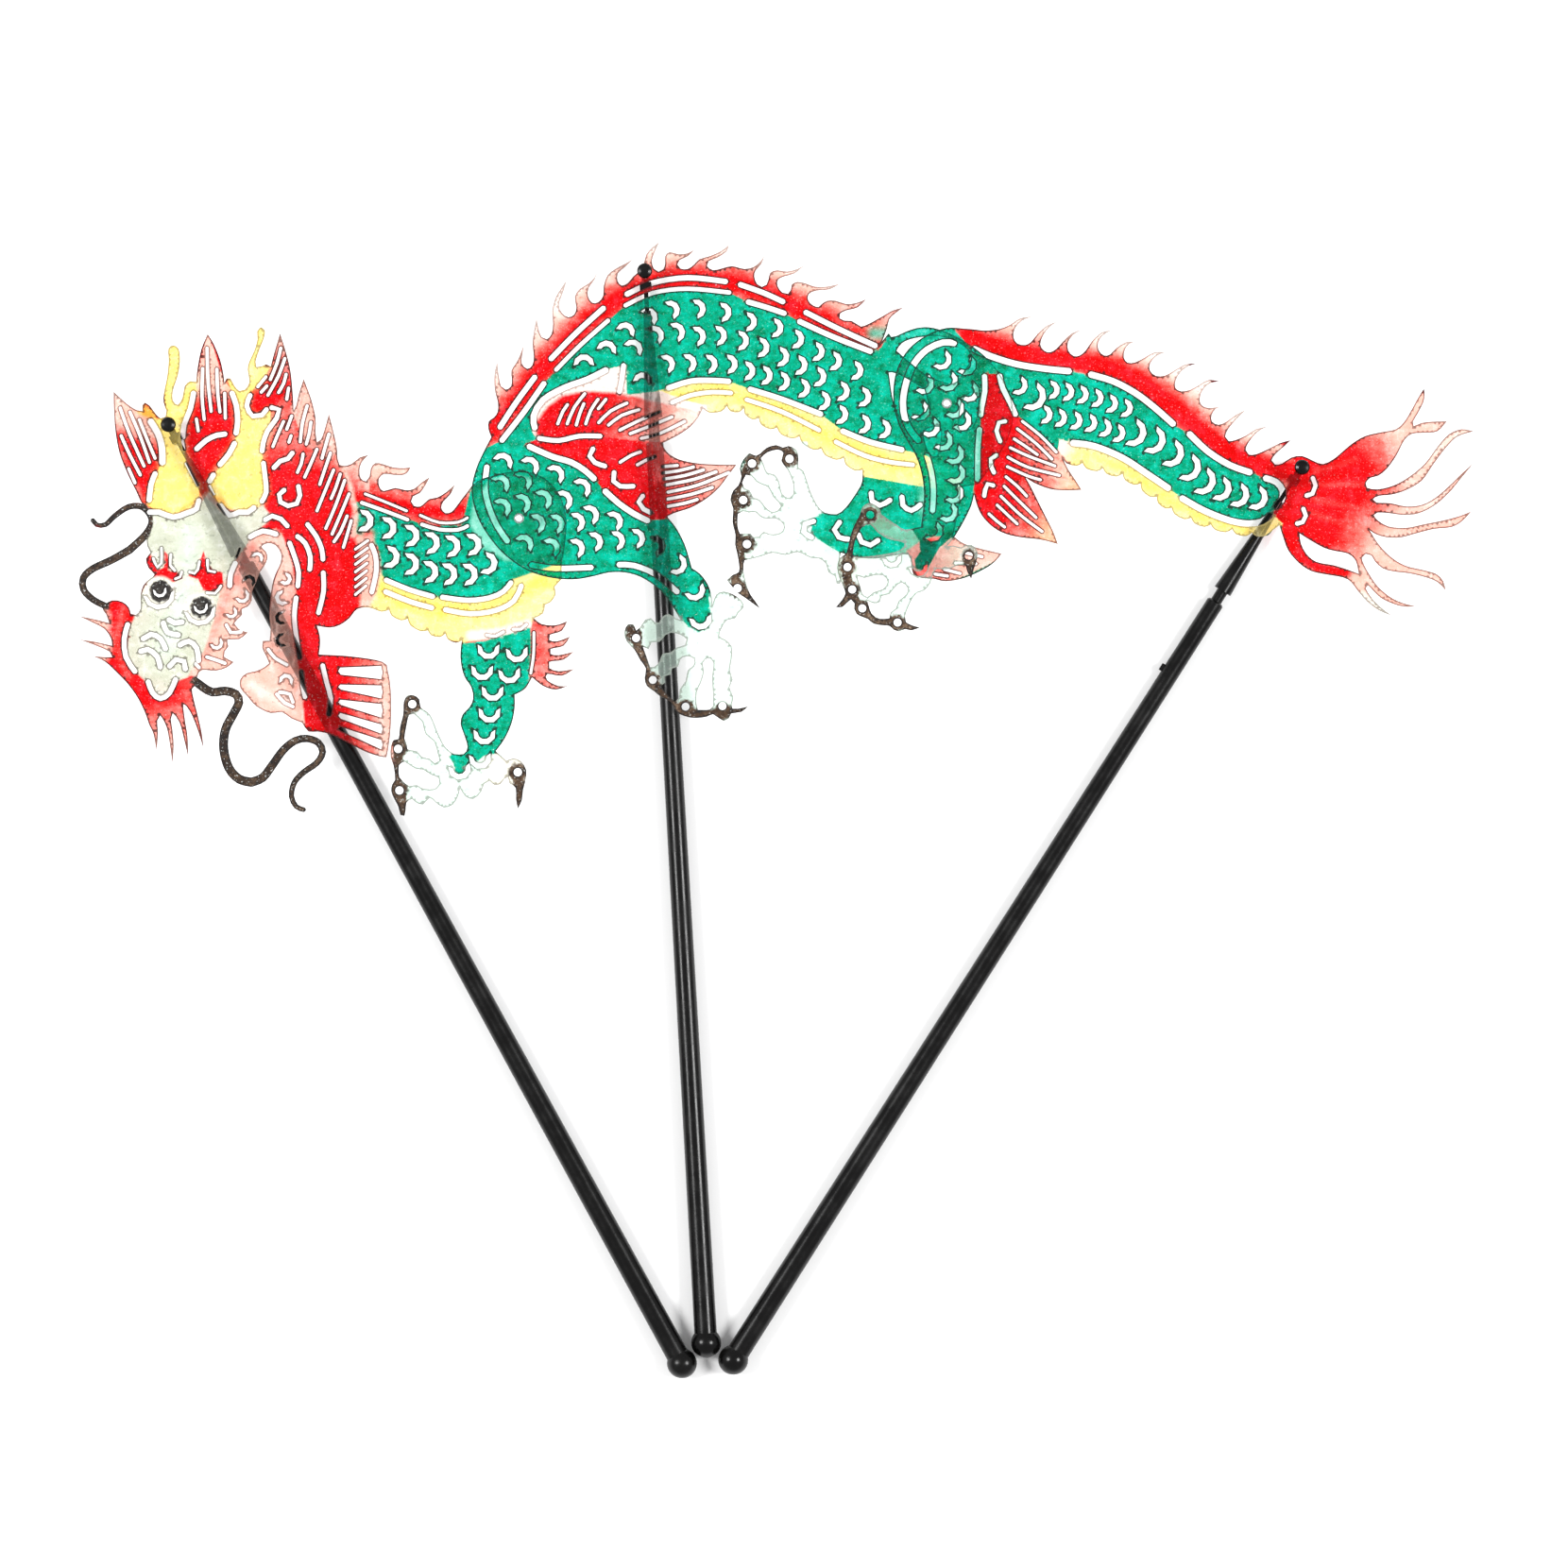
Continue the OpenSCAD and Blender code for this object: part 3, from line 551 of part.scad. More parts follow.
tail_hooks = [[158.4, 110.3], [157.3, 111.6], [158.6, 113.6], [161, 115.7], [163.4, 118, 1], [160, 117.1],
    [156, 115.1], [152.6, 113.6], [150.1, 113.4], [149.1, 114.9], [149.9, 117.1], [152, 119.7],
    [154, 121.3], [156, 122.3, 1], [152.5, 121.6], [149, 119.4], [146, 118.1], [143.7, 117.7],
    [142.6, 119.1], [143.6, 121.6], [146.4, 124.8], [149.3, 127.7, 1], [146, 126.1], [143, 123.9],
    [140.5, 122.9], [138.4, 123.9], [138.3, 126], [139.6, 127.9], [141.6, 128.8, 1], [138.5, 128.3],
    [136, 128.5], [134.6, 130.1], [135, 133], [137, 135.5], [139, 136.4], [141.2, 136.5, 1],
    [137.5, 137.2], [134.5, 135.7], [131.5, 134], [128.6, 133.5], [126.8, 134.6], [126.9, 137],
    [128.6, 139.7], [131, 141.5], [133.6, 142.3, 1], [130, 142.1], [126.5, 140.2], [123.5, 138.5],
    [120.6, 138.4], [118.7, 140.1], [118.8, 142.4], [120.5, 144.4], [122.4, 145.5], [124.2, 146, 1],
    [120, 145.9], [117, 144.2], [114, 142.7], [111.6, 142.6], [110.4, 144.3], [110.8, 146.8],
    [112.2, 148.5], [113.9, 149.3, 1], [111, 149.1], [108, 147.2], [106, 145.2], [104.1, 144.9],
    [102.4, 146.6], [102.3, 149], [103.8, 151.2], [106.4, 152.8, 1], [103.5, 152.3], [100.5, 149.7],
    [98.5, 146.7], [96.5, 144.9], [94.5, 144.7], [92.8, 146.4], [92.7, 149], [94.4, 151.4],
    [97, 153, 1], [94, 152], [91, 149.2], [89, 147], [87, 145.9], [85.1, 146.4], [83.9, 148.4],
    [84.9, 151.4], [87, 154], [89.5, 155.7, 1], [86, 154.4], [83, 151.7], [81, 149.2], [79, 148.2],
    [76.6, 148.7], [75.4, 150.6], [75.8, 153.3], [78, 155.8], [81.5, 157.3, 1], [77.5, 156.7],
    [74, 154.5], [70.5, 153.2], [66, 152.8], [63.5, 153.1]];
rear_outline = concat(tail_collar, last_foot, wing_back, tail_belly, fluke, tail_hooks);

module tail_slots() {
    slots(1.95, [[[63, 146.9], [68, 144.7], [76, 142.2], [85, 140.7], [93, 139.9]],
        [[100, 138.8], [107, 136.7], [114, 133], [120, 128.5], [126, 123.2]],
        [[131.3, 119.9], [137, 114.5], [144, 110.1], [150.4, 107.8]],
        [[155.5, 105.9], [158.8, 104.7], [160.8, 102], [160.5, 99], [158.9, 97]],
        [[94.3, 117.1], [101, 116.1], [110, 112.4], [118, 107.2], [124.5, 102.8]],
        [[129, 99.5], [136, 95.6], [144, 92.5], [150, 91.5], [154.3, 92.2], [156.8, 94]]]);
    slot(1.9, [[56.5, 148.8], [53, 149], [48, 146.8], [43.9, 142.4], [41.4, 136.5], [40.3, 130],
        [41, 124.6], [43, 120.6], [45.2, 118]]);
    slots(1.6, [[[47.9, 113], [49.3, 108], [50, 102], [49.7, 95.6]],
        [[66.2, 138.3], [66.3, 133.5], [65.3, 128.5], [65, 126]],
        [[64.6, 121.4], [64.1, 115], [64, 105.5]], [[71, 138.4], [72, 134.5], [74.3, 130], [76, 126.2]]]);
}
module tail_scales() {
    row([[88, 133.9], [92.6, 133.2], [97.2, 132.3], [101.9, 131.2], [106.5, 129.4], [111.2, 128]],
        6, -5, -15, 2.8, 1.7);
    row([[85.7, 126], [90.3, 124.9], [95.2, 124], [99.9, 123.2], [104.5, 121.7], [108.8, 120]],
        6, -10, -20, 2.8, 1.7);
    row([[114.3, 120], [120.4, 117.6], [126.2, 113.4], [131.6, 108.9], [136.3, 104.6]], 5, -25, -30, 4.3, 2);
    row([[141.7, 102.2], [147.3, 100.2], [153.2, 99.3]], 3, -28, -28, 3.8, 1.9);
    scale_cut([77.6, 135], -30, 2.9, 1.6);
    scale_cut([82.3, 131.4], -30, 4.4, 2);
}
module leg_scales() {
    for (c = [[53.2, 143], [61, 141.3], [55.2, 136.2], [62, 132.8], [47.6, 135.3], [46.2, 126.8],
              [57.2, 127.6], [59.5, 123.6], [49.5, 121.6], [53.6, 117.3], [57.2, 113], [57.6, 106.8],
              [57, 100.6], [55.2, 94.6], [50.4, 88.5]])
        scale_cut(c, -40, 3.1, 1.6, 200);
}
module tail_wing_slots() {
    slots(1.3, [[[72.8, 124], [70.8, 123.6], [70, 121], [71.2, 117.6]],
        [[70, 113.2], [68.2, 112], [68.3, 109.6], [69.2, 107.7]],
        [[69, 103.6], [67.2, 104.1], [66.4, 102.2], [66.1, 100.3]]]);
    slots(0.85, [[[78.2, 124], [84, 119.4], [89, 114.2]], [[76.6, 121.6], [82.5, 117], [87.6, 112]],
        [[75.6, 118.4], [79, 116.2], [83, 113.4]], [[74.4, 115.6], [80, 113], [88.6, 109.8]],
        [[73.6, 112.6], [80, 109.4], [90, 106.8]], [[73.4, 109.6], [80, 106.6], [84, 105.4]],
        [[73, 106.4], [76.6, 103.4], [79.6, 100.2]], [[72.4, 103.4], [77, 98.8], [82.6, 93.4]],
        [[71.4, 100.2], [78, 93.9], [84.5, 89]], [[70.2, 97.4], [76.6, 91.4]],
        [[67.6, 94.6], [70, 92.4], [72.6, 90.4]]]);
}
module fluke_cuts() {
    slots(1.35, [[[170.4, 106], [171.3, 103.6], [170.3, 101], [168.4, 100.4]],
        [[167.4, 96.2], [168.2, 94], [167.2, 92], [165.4, 91.5]]]);
    island([[166.2, 88.4, 1], [169, 86.6], [174, 83.8], [178, 82.7], [181.5, 82], [184, 79.8], [185, 75.6, 1],
        [181.5, 76.9], [177, 78.3], [171.5, 79.4], [168.3, 82], [166.6, 85.3]]);
}
module last_foot_cuts() {
    island([[24.3, 81.5, 1], [25.1, 86], [27.3, 90.3], [30, 91.2], [32, 89], [35.5, 86.7], [40.8, 85.3],
        [39, 82.9], [33, 81.6], [26.5, 80.9]]);
    island([[25.9, 74.8], [28, 74.2], [31, 75], [34, 75], [35.4, 73], [34, 70.8], [31, 69.8], [29, 68.2],
        [27.4, 69.4, 1], [26.7, 72]]);
    island([[29, 67, 1], [31, 66.2], [33, 66.6], [33.6, 68.5], [36, 69.1], [38, 71.5], [40, 72.7],
        [41.8, 71], [41.3, 69], [38.9, 67], [38, 64.6], [36.4, 63.4], [36, 61.5, 1], [33, 61.3],
        [30.4, 62.9]]);
    crescent([36.8, 80.6], -80, 3, 1.4, 190);
    crescent([45.2, 77.8], -80, 3, 1.4, 190);
    eyelets(2.5, [[29.9, 94.3], [22.7, 77.7], [24.2, 70.6], [27.4, 64.6], [38.6, 60.1], [61.2, 81.3]]);
}
module rear_flat() difference() {
    polygon(closed_curve(rear_outline));
    tail_slots();
    tail_scales();
    leg_scales();
    tail_wing_slots();
    fluke_cuts();
    last_foot_cuts();
    translate(rear_pivot) circle(d = rivet_d + 2 * run_gap, $fn = 48);
    translate([rear_place[0], rear_place[1]]) circle(d = stem_d + 2 * run_gap, $fn = 48);
}
module rear_sheet() color(film_tail) translate([0, 0, rear_z]) linear_extrude(sheet_t) rear_flat();

// ---- rivets ----
// A domed disc standing on z = 0, with a narrower rim
module dome(d, h) rotate_extrude($fn = 48)
    polygon([[0, 0], [d / 2, 0], [d / 2, h * 0.35], [d * 0.42, h * 0.7], [d * 0.25, h * 0.93], [0, h]]);
// low_z and high_z are the outer faces of the two sheets that it holds
module stud(c, low_z, high_z) color(clear_plastic) translate([c[0], c[1], 0]) {
    translate([0, 0, high_z + face_gap]) dome(rivet_head_d, rivet_head_h);
    translate([0, 0, low_z - face_gap - rivet_head_h]) cylinder(d = rivet_d, $fn = 48,
        h = high_z - low_z + 2 * face_gap + rivet_head_h);
}
module cap(c, low_z) color(clear_plastic) translate([c[0], c[1], low_z - face_gap - rivet_head_h])
    difference() {
        cylinder(d = rivet_head_d, h = rivet_head_h, $fn = 48);
        translate([0, 0, -1]) cylinder(d = rivet_d, h = rivet_head_h + 2, $fn = 48);
    }
module front_pivot_stud() stud(front_pivot, front_z, middle_z + sheet_t);
module front_pivot_cap() cap(front_pivot, front_z);
module rear_pivot_stud() stud(rear_pivot, middle_z, rear_z + sheet_t);
module rear_pivot_cap() cap(rear_pivot, middle_z);

// ---- rods ----
function rod_length(p) = norm([p[2] - p[0], p[3] - p[1]]);
function slope(p) = asin((ball_d / 2 - pin_z) / (rod_length(p) - pin_x));
// Puts +X along the rod as seen from above, starting at the button
module along(p) translate([p[0], p[1], 0]) rotate([0, 0, atan2(p[3] - p[1], p[2] - p[0])]) children();
// The same, tilted so that the ball rests on the table, with x = 0 and z = 0 at the hinge pin
module on_rod(p) along(p) translate([pin_x, 0, pin_z]) rotate([0, -slope(p), 0]) children();
module lying(d1, d2, x1, x2) translate([x1, 0, 0]) rotate([0, 90, 0])
    cylinder(d1 = d1, d2 = d2, h = x2 - x1, $fn = 64);

module button(p, z) color(black_plastic) along(p) {
    translate([0, 0, z + sheet_t + face_gap]) dome(button_d, button_h);
    translate([0, 0, z - face_gap - 1.4]) cylinder(d = stem_d, h = sheet_t + 2 * face_gap + 1.5, $fn = 48);
}
// Two cheeks under a bridge that is pressed on the button's stem
module fork(p, z) color(black_plastic) along(p) difference() {
    union() {
        translate([0, 0, z - face_gap - 1.4]) cylinder(d = 3.6, h = 1.4, $fn = 48);
        translate([0, -1.1, z - face_gap - 1.4]) cube([pin_x, 2.2, 1.4]);
        translate([pin_x - fork_l / 2, -fork_w / 2, 0]) cube([fork_l, fork_w, z - face_gap]);
    }
    translate([0, 0, z - 3]) cylinder(d = stem_d, h = 4, $fn = 48);
    translate([pin_x - fork_l, -tongue_w / 2 - tongue_gap, -1])
        cube([2 * fork_l, tongue_w + 2 * tongue_gap, pin_z + 3.1]);
    translate([pin_x, fork_w, pin_z]) rotate([90, 0, 0]) cylinder(d = pin_d, h = 2 * fork_w, $fn = 32);
}
module hinge_pin(p) color(black_plastic) along(p) translate([pin_x, fork_w / 2, pin_z])
    rotate([90, 0, 0]) cylinder(d = pin_d, h = fork_w, $fn = 32);
module tip(p) color(black_plastic) on_rod(p) difference() {
    union() {
        rotate([90, 0, 0]) cylinder(d = 2.6, h = tongue_w, center = true, $fn = 48);
        translate([0, -tongue_w / 2, -0.9]) cube([neck_x - pin_x + 1, tongue_w, 1.8]);
        lying(neck_d, tip_end_d, neck_x - pin_x, tip_end_x - pin_x);
        lying(spigot_d, spigot_d, tip_end_x - pin_x - 1, tip_end_x - pin_x + spigot_l);
    }
    rotate([90, 0, 0]) cylinder(d = pin_d + 2 * run_gap, h = 2 * fork_w, center = true, $fn = 32);
}
module rod(p) color(black_plastic) {
    start = tip_end_x - pin_x + p[4];
    end = rod_length(p) - pin_x;
    on_rod(p) difference() {
        union() {
            lying(rod_top_d - 2 * chamfer, rod_top_d, start, start + chamfer);
            lying(rod_top_d, rod_low_d, start + chamfer, end);
            translate([start + lug_x, -rod_top_d / 2 - 1, -0.8]) cube([2.4, 1.6, 1.6]);
            translate([end, 0, 0]) sphere(d = ball_d, $fn = 64);
        }
        lying(spigot_d + 2 * run_gap, spigot_d + 2 * run_gap, start - 1, start + socket_l);
    }
}
module head_button() button(head_place, front_z);
module head_fork() fork(head_place, front_z);
module head_hinge_pin() hinge_pin(head_place);
module head_tip() tip(head_place);
module head_rod() rod(head_place);
module middle_button() button(middle_place, middle_z);
module middle_fork() fork(middle_place, middle_z);
module middle_hinge_pin() hinge_pin(middle_place);
module middle_tip() tip(middle_place);
module middle_rod() rod(middle_place);
module rear_button() button(rear_place, rear_z);
module rear_fork() fork(rear_place, rear_z);
module rear_hinge_pin() hinge_pin(rear_place);
module rear_tip() tip(rear_place);
module rear_rod() rod(rear_place);

front_sheet();
middle_sheet();
rear_sheet();
front_pivot_stud();
front_pivot_cap();
rear_pivot_stud();
rear_pivot_cap();
head_button();
head_fork();
head_hinge_pin();
head_tip();
head_rod();
middle_button();
middle_fork();
middle_hinge_pin();
middle_tip();
middle_rod();
rear_button();
rear_fork();
rear_hinge_pin();
rear_tip();
rear_rod();
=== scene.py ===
"""Looks of the dragon shadow puppet: painted, cut film sheets, clear rivets and black control rods.

Points in the plane of the sheets are written in millimetres.
Everything that goes to Blender is in metres.
"""

import math

import bpy
import numpy as np
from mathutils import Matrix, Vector, geometry, kdtree


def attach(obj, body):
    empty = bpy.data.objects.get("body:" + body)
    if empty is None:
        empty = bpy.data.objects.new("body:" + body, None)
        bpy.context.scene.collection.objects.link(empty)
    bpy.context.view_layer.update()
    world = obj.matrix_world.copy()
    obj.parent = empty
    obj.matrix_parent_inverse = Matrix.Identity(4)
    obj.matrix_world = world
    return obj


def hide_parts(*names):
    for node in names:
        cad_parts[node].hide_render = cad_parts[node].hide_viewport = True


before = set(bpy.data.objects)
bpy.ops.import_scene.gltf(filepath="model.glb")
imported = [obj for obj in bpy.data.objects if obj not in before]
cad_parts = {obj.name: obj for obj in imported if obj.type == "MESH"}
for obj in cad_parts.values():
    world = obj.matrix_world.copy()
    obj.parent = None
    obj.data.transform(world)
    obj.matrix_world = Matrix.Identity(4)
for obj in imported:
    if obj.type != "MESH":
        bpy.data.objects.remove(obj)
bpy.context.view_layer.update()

MM = 0.001

# ---- paints ----
# sRGB over white, then how much of the light each face scatters instead of letting it through
RED = ("#e30a15", 0.14)
DEEP_RED = ("#b80410", 0.16)
CORAL = ("#f27d74", 0.1)
PINK = ("#f9c3b5", 0.08)
BLUSH = ("#fee9e1", 0.06)
GREEN = ("#00ae8d", 0.13)
TEAL = ("#2ac6ae", 0.1)
YELLOW = ("#fce27a", 0.1)
STRAW = ("#fdea9e", 0.08)
ORANGE = ("#fdb252", 0.1)
MINT = ("#dff0e6", 0.09)
CREAM = ("#f1efe2", 0.09)
PALE_TEAL = ("#a4e4d4", 0.04)
FACE = ("#d3d6c6", 0.12)
INK = ("#1d1814", 0.8)
WHISKER = ("#2a190b", 0.86)
BROWN = ("#46311f", 0.78)


def linear(code):
    """A '#rrggbb' colour as three linear values."""
    srgb = [int(code[i:i + 2], 16) / 255 for i in (1, 3, 5)]
    return [c / 12.92 if c <= 0.04045 else ((c + 0.055) / 1.055) ** 2.4 for c in srgb]


def smooth(t):
    t = np.clip(t, 0, 1)
    return t * t * (3 - 2 * t)


class Canvas:
    """The paint on a sheet: a colour and a cover for each of its points. Masks are 0 to 1 at every point."""

    def __init__(self, points, base):
        self.p = points
        self.rgba = np.tile(linear(base[0]) + [base[1]], (len(points), 1))
        self.outlines = []      # (path, offset) of every crisp edge, so that the mesh can follow them

    def _distance(self, path):
        best = np.full(len(self.p), 1e9)
        for a, b in zip(path[:-1], path[1:]):
            a, d = np.array(a, float), np.array(b, float) - np.array(a, float)
            t = np.clip(((self.p - a) @ d) / max(d @ d, 1e-9), 0, 1)
            best = np.minimum(best, np.linalg.norm(self.p - a - t[:, None] * d, axis=1))
        return best

    def area(self, corners, soft=0.3):
        """1 inside a polygon, 0 outside, and soft millimetres wide between the two."""
        closed = list(corners) + [corners[0]]
        x, y = self.p.T
        inside = np.zeros(len(self.p), bool)
        for (x0, y0), (x1, y1) in zip(closed[:-1], closed[1:]):
            if y0 != y1:
                crossing = (y0 > y) != (y1 > y)
                inside ^= crossing & (x < (x1 - x0) * (y - y0) / (y1 - y0) + x0)
        self.outlines.append((closed, soft / 2))
        side = np.where(inside, 1, -1) * self._distance(closed)
        return smooth(side / soft + 0.5)

    def line(self, path, radius, soft=0.3):
        """1 within radius of a path."""
        self.outlines.append((path, radius + soft / 2))
        self.outlines.append((path, radius - soft / 2))
        return smooth((radius - self._distance(path)) / soft + 0.5)

    def dots(self, centres, radius, soft=0.3):
        mask = np.zeros(len(self.p))
        for c in centres:
            turn = [(c[0] + 0.01 * math.cos(a), c[1] + 0.01 * math.sin(a)) for a in range(7)]
            mask = np.maximum(mask, self.line(turn, radius, soft))
        return mask

    def veins(self, origin, first, last, count, reach, radius=0.18, soft=0.5):
        """Thin lines fanning out from origin between two angles in degrees, reach[0] to reach[1]."""
        mask = np.zeros(len(self.p))
        for k in range(count):
            a = math.radians(first + (last - first) * k / (count - 1))
            way = np.array([math.cos(a), math.sin(a)])
            path = [tuple(np.array(origin) + way * r) for r in reach]
            mask = np.maximum(mask, smooth((radius - self._distance(path)) / soft + 0.5))
        return mask

    def ramp(self, start, end):
        """0 at the start point, 1 at the end point, and level across."""
        a, d = np.array(start, float), np.array(end, float) - np.array(start, float)
        return smooth(((self.p - a) @ d) / (d @ d))

    def away(self, path, near, far):
        """0 within near of a path, and 1 beyond far."""
        return smooth((self._distance(path) - near) / (far - near))

    def lay(self, paint, mask):
        new = np.array(linear(paint[0]) + [paint[1]])
        self.rgba += (new - self.rgba) * mask[:, None]


def paint_front(c):
    """Head, mane, neck and first leg."""
    # neck, belly and leg
    c.lay(GREEN, c.area([(-133.4, 98.6), (-134, 88.6), (-129, 86.4), (-126.4, 84), (-125.6, 76),
                         (-124, 73.6), (-116.5, 70.6), (-108, 68), (-98, 67.2), (-91, 68), (-86.6, 70),
                         (-83, 74), (-74, 77), (-64, 81), (-64, 112), (-95.4, 110), (-99, 95.6),
                         (-107, 90.4), (-112.6, 91.6), (-117, 93.4)]))
    c.lay(STRAW, c.area([(-131, 80), (-125.6, 76), (-124, 73.6), (-116.5, 70.6), (-108, 68), (-98, 67.2),
                         (-91, 68), (-86.6, 70), (-83, 74), (-74, 77), (-64, 81), (-64, 60), (-76, 60),
                         (-84, 57.6), (-90, 55.6), (-100, 53.6), (-131, 60)], 0.8))
    c.lay(YELLOW, c.line([(-128, 72), (-119, 67.5), (-107, 64.5), (-96, 64), (-87, 66), (-80, 70),
                          (-73, 73.5)], 2.6, 3.4))
    c.lay(BLUSH, c.line([(-97, 56), (-89, 56.5), (-79, 59.4)], 1.6, 1.6))
    c.lay(GREEN, c.area([(-101.6, 53.2), (-92, 54.4), (-83.6, 56.8), (-78, 58.6), (-77.6, 42),
                         (-82.6, 36), (-83.6, 28), (-88.8, 18.6), (-93, 17.6), (-95.5, 15.4),
                         (-98.6, 14.6), (-98.8, 12.6), (-100.4, 11.4), (-102, 12.8), (-102.4, 15.4),
                         (-104, 17.6), (-99.6, 20), (-102, 28), (-98.4, 34), (-98, 38), (-101.6, 46)]))
    c.lay(PALE_TEAL, c.area([(-84, 107), (-74, 105), (-69.4, 99), (-67.8, 92), (-69, 84), (-76, 80),
                             (-86, 80), (-93, 84), (-97, 91), (-96, 99), (-91, 105)], 1.5) * 0.8)
    fringe = c.area([(-77.4, 61), (-60, 63), (-60, 37), (-76, 37), (-78.4, 42.4)])
    c.lay(CORAL, fringe)
    c.lay(PINK, fringe * c.ramp((-71, 50), (-64, 50)))
    c.lay(RED, fringe * 0.5 * c.line([(-75.5, 59), (-75.2, 44)], 1, 3))
    # the foot's clear film and its dark claws
    foot = c.area([(-125, 40), (-98.6, 40), (-99.6, 20), (-104, 17.6), (-102.4, 15.4), (-102, 12.8),
                   (-100.4, 11.4), (-98.8, 12.6), (-98.6, 14.6), (-95.5, 15.4), (-93, 17.6), (-88.8, 18.6),
                   (-78, 18), (-78, -3), (-121, -3), (-122.4, 16)])
    foot *= 1 - c.area([(-101.6, 53.2), (-78, 58), (-78, 42), (-83.6, 28), (-89, 18.8), (-99.6, 20),
                        (-102, 28), (-98.4, 34), (-98, 38)], 0.2) * (c.p[:, 1] > 22)
    c.lay(MINT, foot)
    c.lay(CREAM, foot * c.ramp((-96, 12), (-88, 12)))
    c.lay(BROWN, c.line([(-115.6, 34.6), (-118.4, 31.6), (-119.4, 24), (-120.4, 20), (-120.4, 14),
                         (-121, 8), (-119.4, 5.4), (-118.6, 0)], 1.9))
    c.lay(BROWN, c.dots([(-115.5, 34.2), (-120, 20), (-119.8, 6.8), (-82, 12.6)], 2.9))
    c.lay(BROWN, c.line([(-82, 12), (-81.4, 7.5), (-82, 1)], 1.9))
    c.lay(MINT, c.line([(-116.4, 24), (-113.6, 16), (-114, 6)], 1.3, 0.4))
    # neck flames
    base = [(-134, 100.4), (-124, 98.4), (-113, 95.4), (-100, 95.6)]
    flames = c.area([(-134.2, 99), (-117, 93.2), (-112.6, 91.4), (-100, 91), (-98.6, 96), (-96, 106),
                     (-105, 112), (-120, 114), (-128, 116)])
    c.lay(RED, flames)
    c.lay(CORAL, flames * c.away(base, 1.2, 3.4) * 0.75)
    c.lay(PINK, flames * c.away(base, 4, 7.6))
    # ears
    left_ear = c.area([(-212, 136), (-212, 100), (-199.6, 97), (-196.4, 108), (-194.9, 112), (-196, 120),
                       (-199.6, 126.4), (-203, 128.4)])
    c.lay(PINK, left_ear * c.ramp((-205, 117), (-203, 122.5)))
    c.lay(CORAL, left_ear * 0.8 * c.line([(-210, 118), (-204, 105), (-201.4, 99.6)], 0.7, 1.6))
    middle_ear = c.area([(-184.4, 137), (-185, 131), (-188, 123), (-188, 118), (-180, 103), (-172, 117),
                         (-171, 124), (-172.6, 134), (-175.4, 137), (-180.5, 153)])
    c.lay(PINK, middle_ear * c.ramp((-180, 129), (-180, 135.5)))
    third = c.area([(-168, 133), (-158.4, 126), (-150, 126), (-155, 156), (-161.5, 144)])
    c.lay(CORAL, third * 0.9 * c.ramp((-160, 135), (-157.4, 145)))
    c.lay(PINK, third * 0.85 * c.ramp((-158.6, 143), (-157, 150)))
    # mane tips and border
    spikes = c.area([(-154, 128), (-149.6, 117), (-146, 107), (-142, 98), (-137, 92), (-128, 90),
                     (-130, 115), (-142, 130), (-150, 141)])
    mane_top = c.area([(-166, 127), (-160, 127), (-150, 142), (-136, 116), (-150, 106), (-163, 106)], 0.5)
    c.lay(CORAL, mane_top * c.ramp((-157, 109), (-154, 120)) * 0.75)
    c.lay(PINK, spikes * c.ramp((-155, 116), (-148, 125)) * 0.85)
    c.lay(PINK, spikes * c.ramp((-144, 110), (-138.6, 117)) * 0.9)
    c.lay(PINK, c.line([(-138, 110.4), (-135, 103), (-133.6, 95), (-134.2, 88)], 0.8, 1.2))
    c.lay(CORAL, c.line([(-129.6, 88), (-131, 80), (-130.6, 68)], 1.7, 2.6))
    c.lay(PINK, c.area([(-134.6, 88.6), (-128.2, 87), (-126.2, 82), (-125.4, 76), (-126.6, 69.6),
                        (-129, 65), (-132, 65), (-131.6, 76), (-132.6, 84)], 1.6))
    c.lay(PINK, c.line([(-163.8, 117), (-163.6, 109), (-163.2, 99)], 0.6, 0.8))
    c.lay(DEEP_RED, c.area([(-165, 128), (-150, 141), (-130, 108), (-128, 92), (-134, 66), (-146, 62),
                            (-150, 90), (-163, 100)], 2) * c.veins((-185, 10), 46, 78, 26, (62, 140)) * 0.4)
    # horns and crown
    left_horn = [(-199.6, 97.4), (-197.2, 106.5), (-195.2, 111), (-194.7, 117), (-198.4, 125.8),
                 (-196, 124.6), (-193.8, 127), (-196, 150), (-187, 150), (-190, 128.5), (-187, 137),
                 (-184, 137.4), (-184.6, 133), (-187.8, 123), (-188.4, 118), (-187, 110), (-183.2, 103),
                 (-183.2, 97.4), (-187.2, 95), (-191.5, 93.4), (-196, 95.4)]
    right_horn = [(-176.6, 97.4), (-179.6, 101.4), (-179.6, 105), (-176.4, 110.3), (-172, 117),
                  (-171.3, 120.3), (-170.8, 124), (-171.6, 130), (-174.6, 138.6), (-168.6, 134.6),
                  (-168, 157), (-160, 157), (-165, 142), (-160.4, 141.6), (-163.4, 137), (-167.2, 133),
                  (-168.2, 129), (-166.4, 125.6), (-163.4, 126), (-160.6, 127.6), (-160.6, 122),
                  (-163.2, 114), (-162.6, 108), (-162, 101), (-163.8, 97.4), (-170, 94.8)]
    for horn in (left_horn, right_horn):
        c.lay(YELLOW, c.area(horn))
        c.lay(STRAW, c.area(horn, 5) * 0.55)
    c.lay(ORANGE, c.line([(-202, 130.4), (-201.4, 127.6), (-198.4, 126.4)], 1.6, 1.4))
    c.lay(ORANGE, c.line([(-189, 96), (-180, 101), (-175, 98)], 0.5, 1.4) * 0.7)
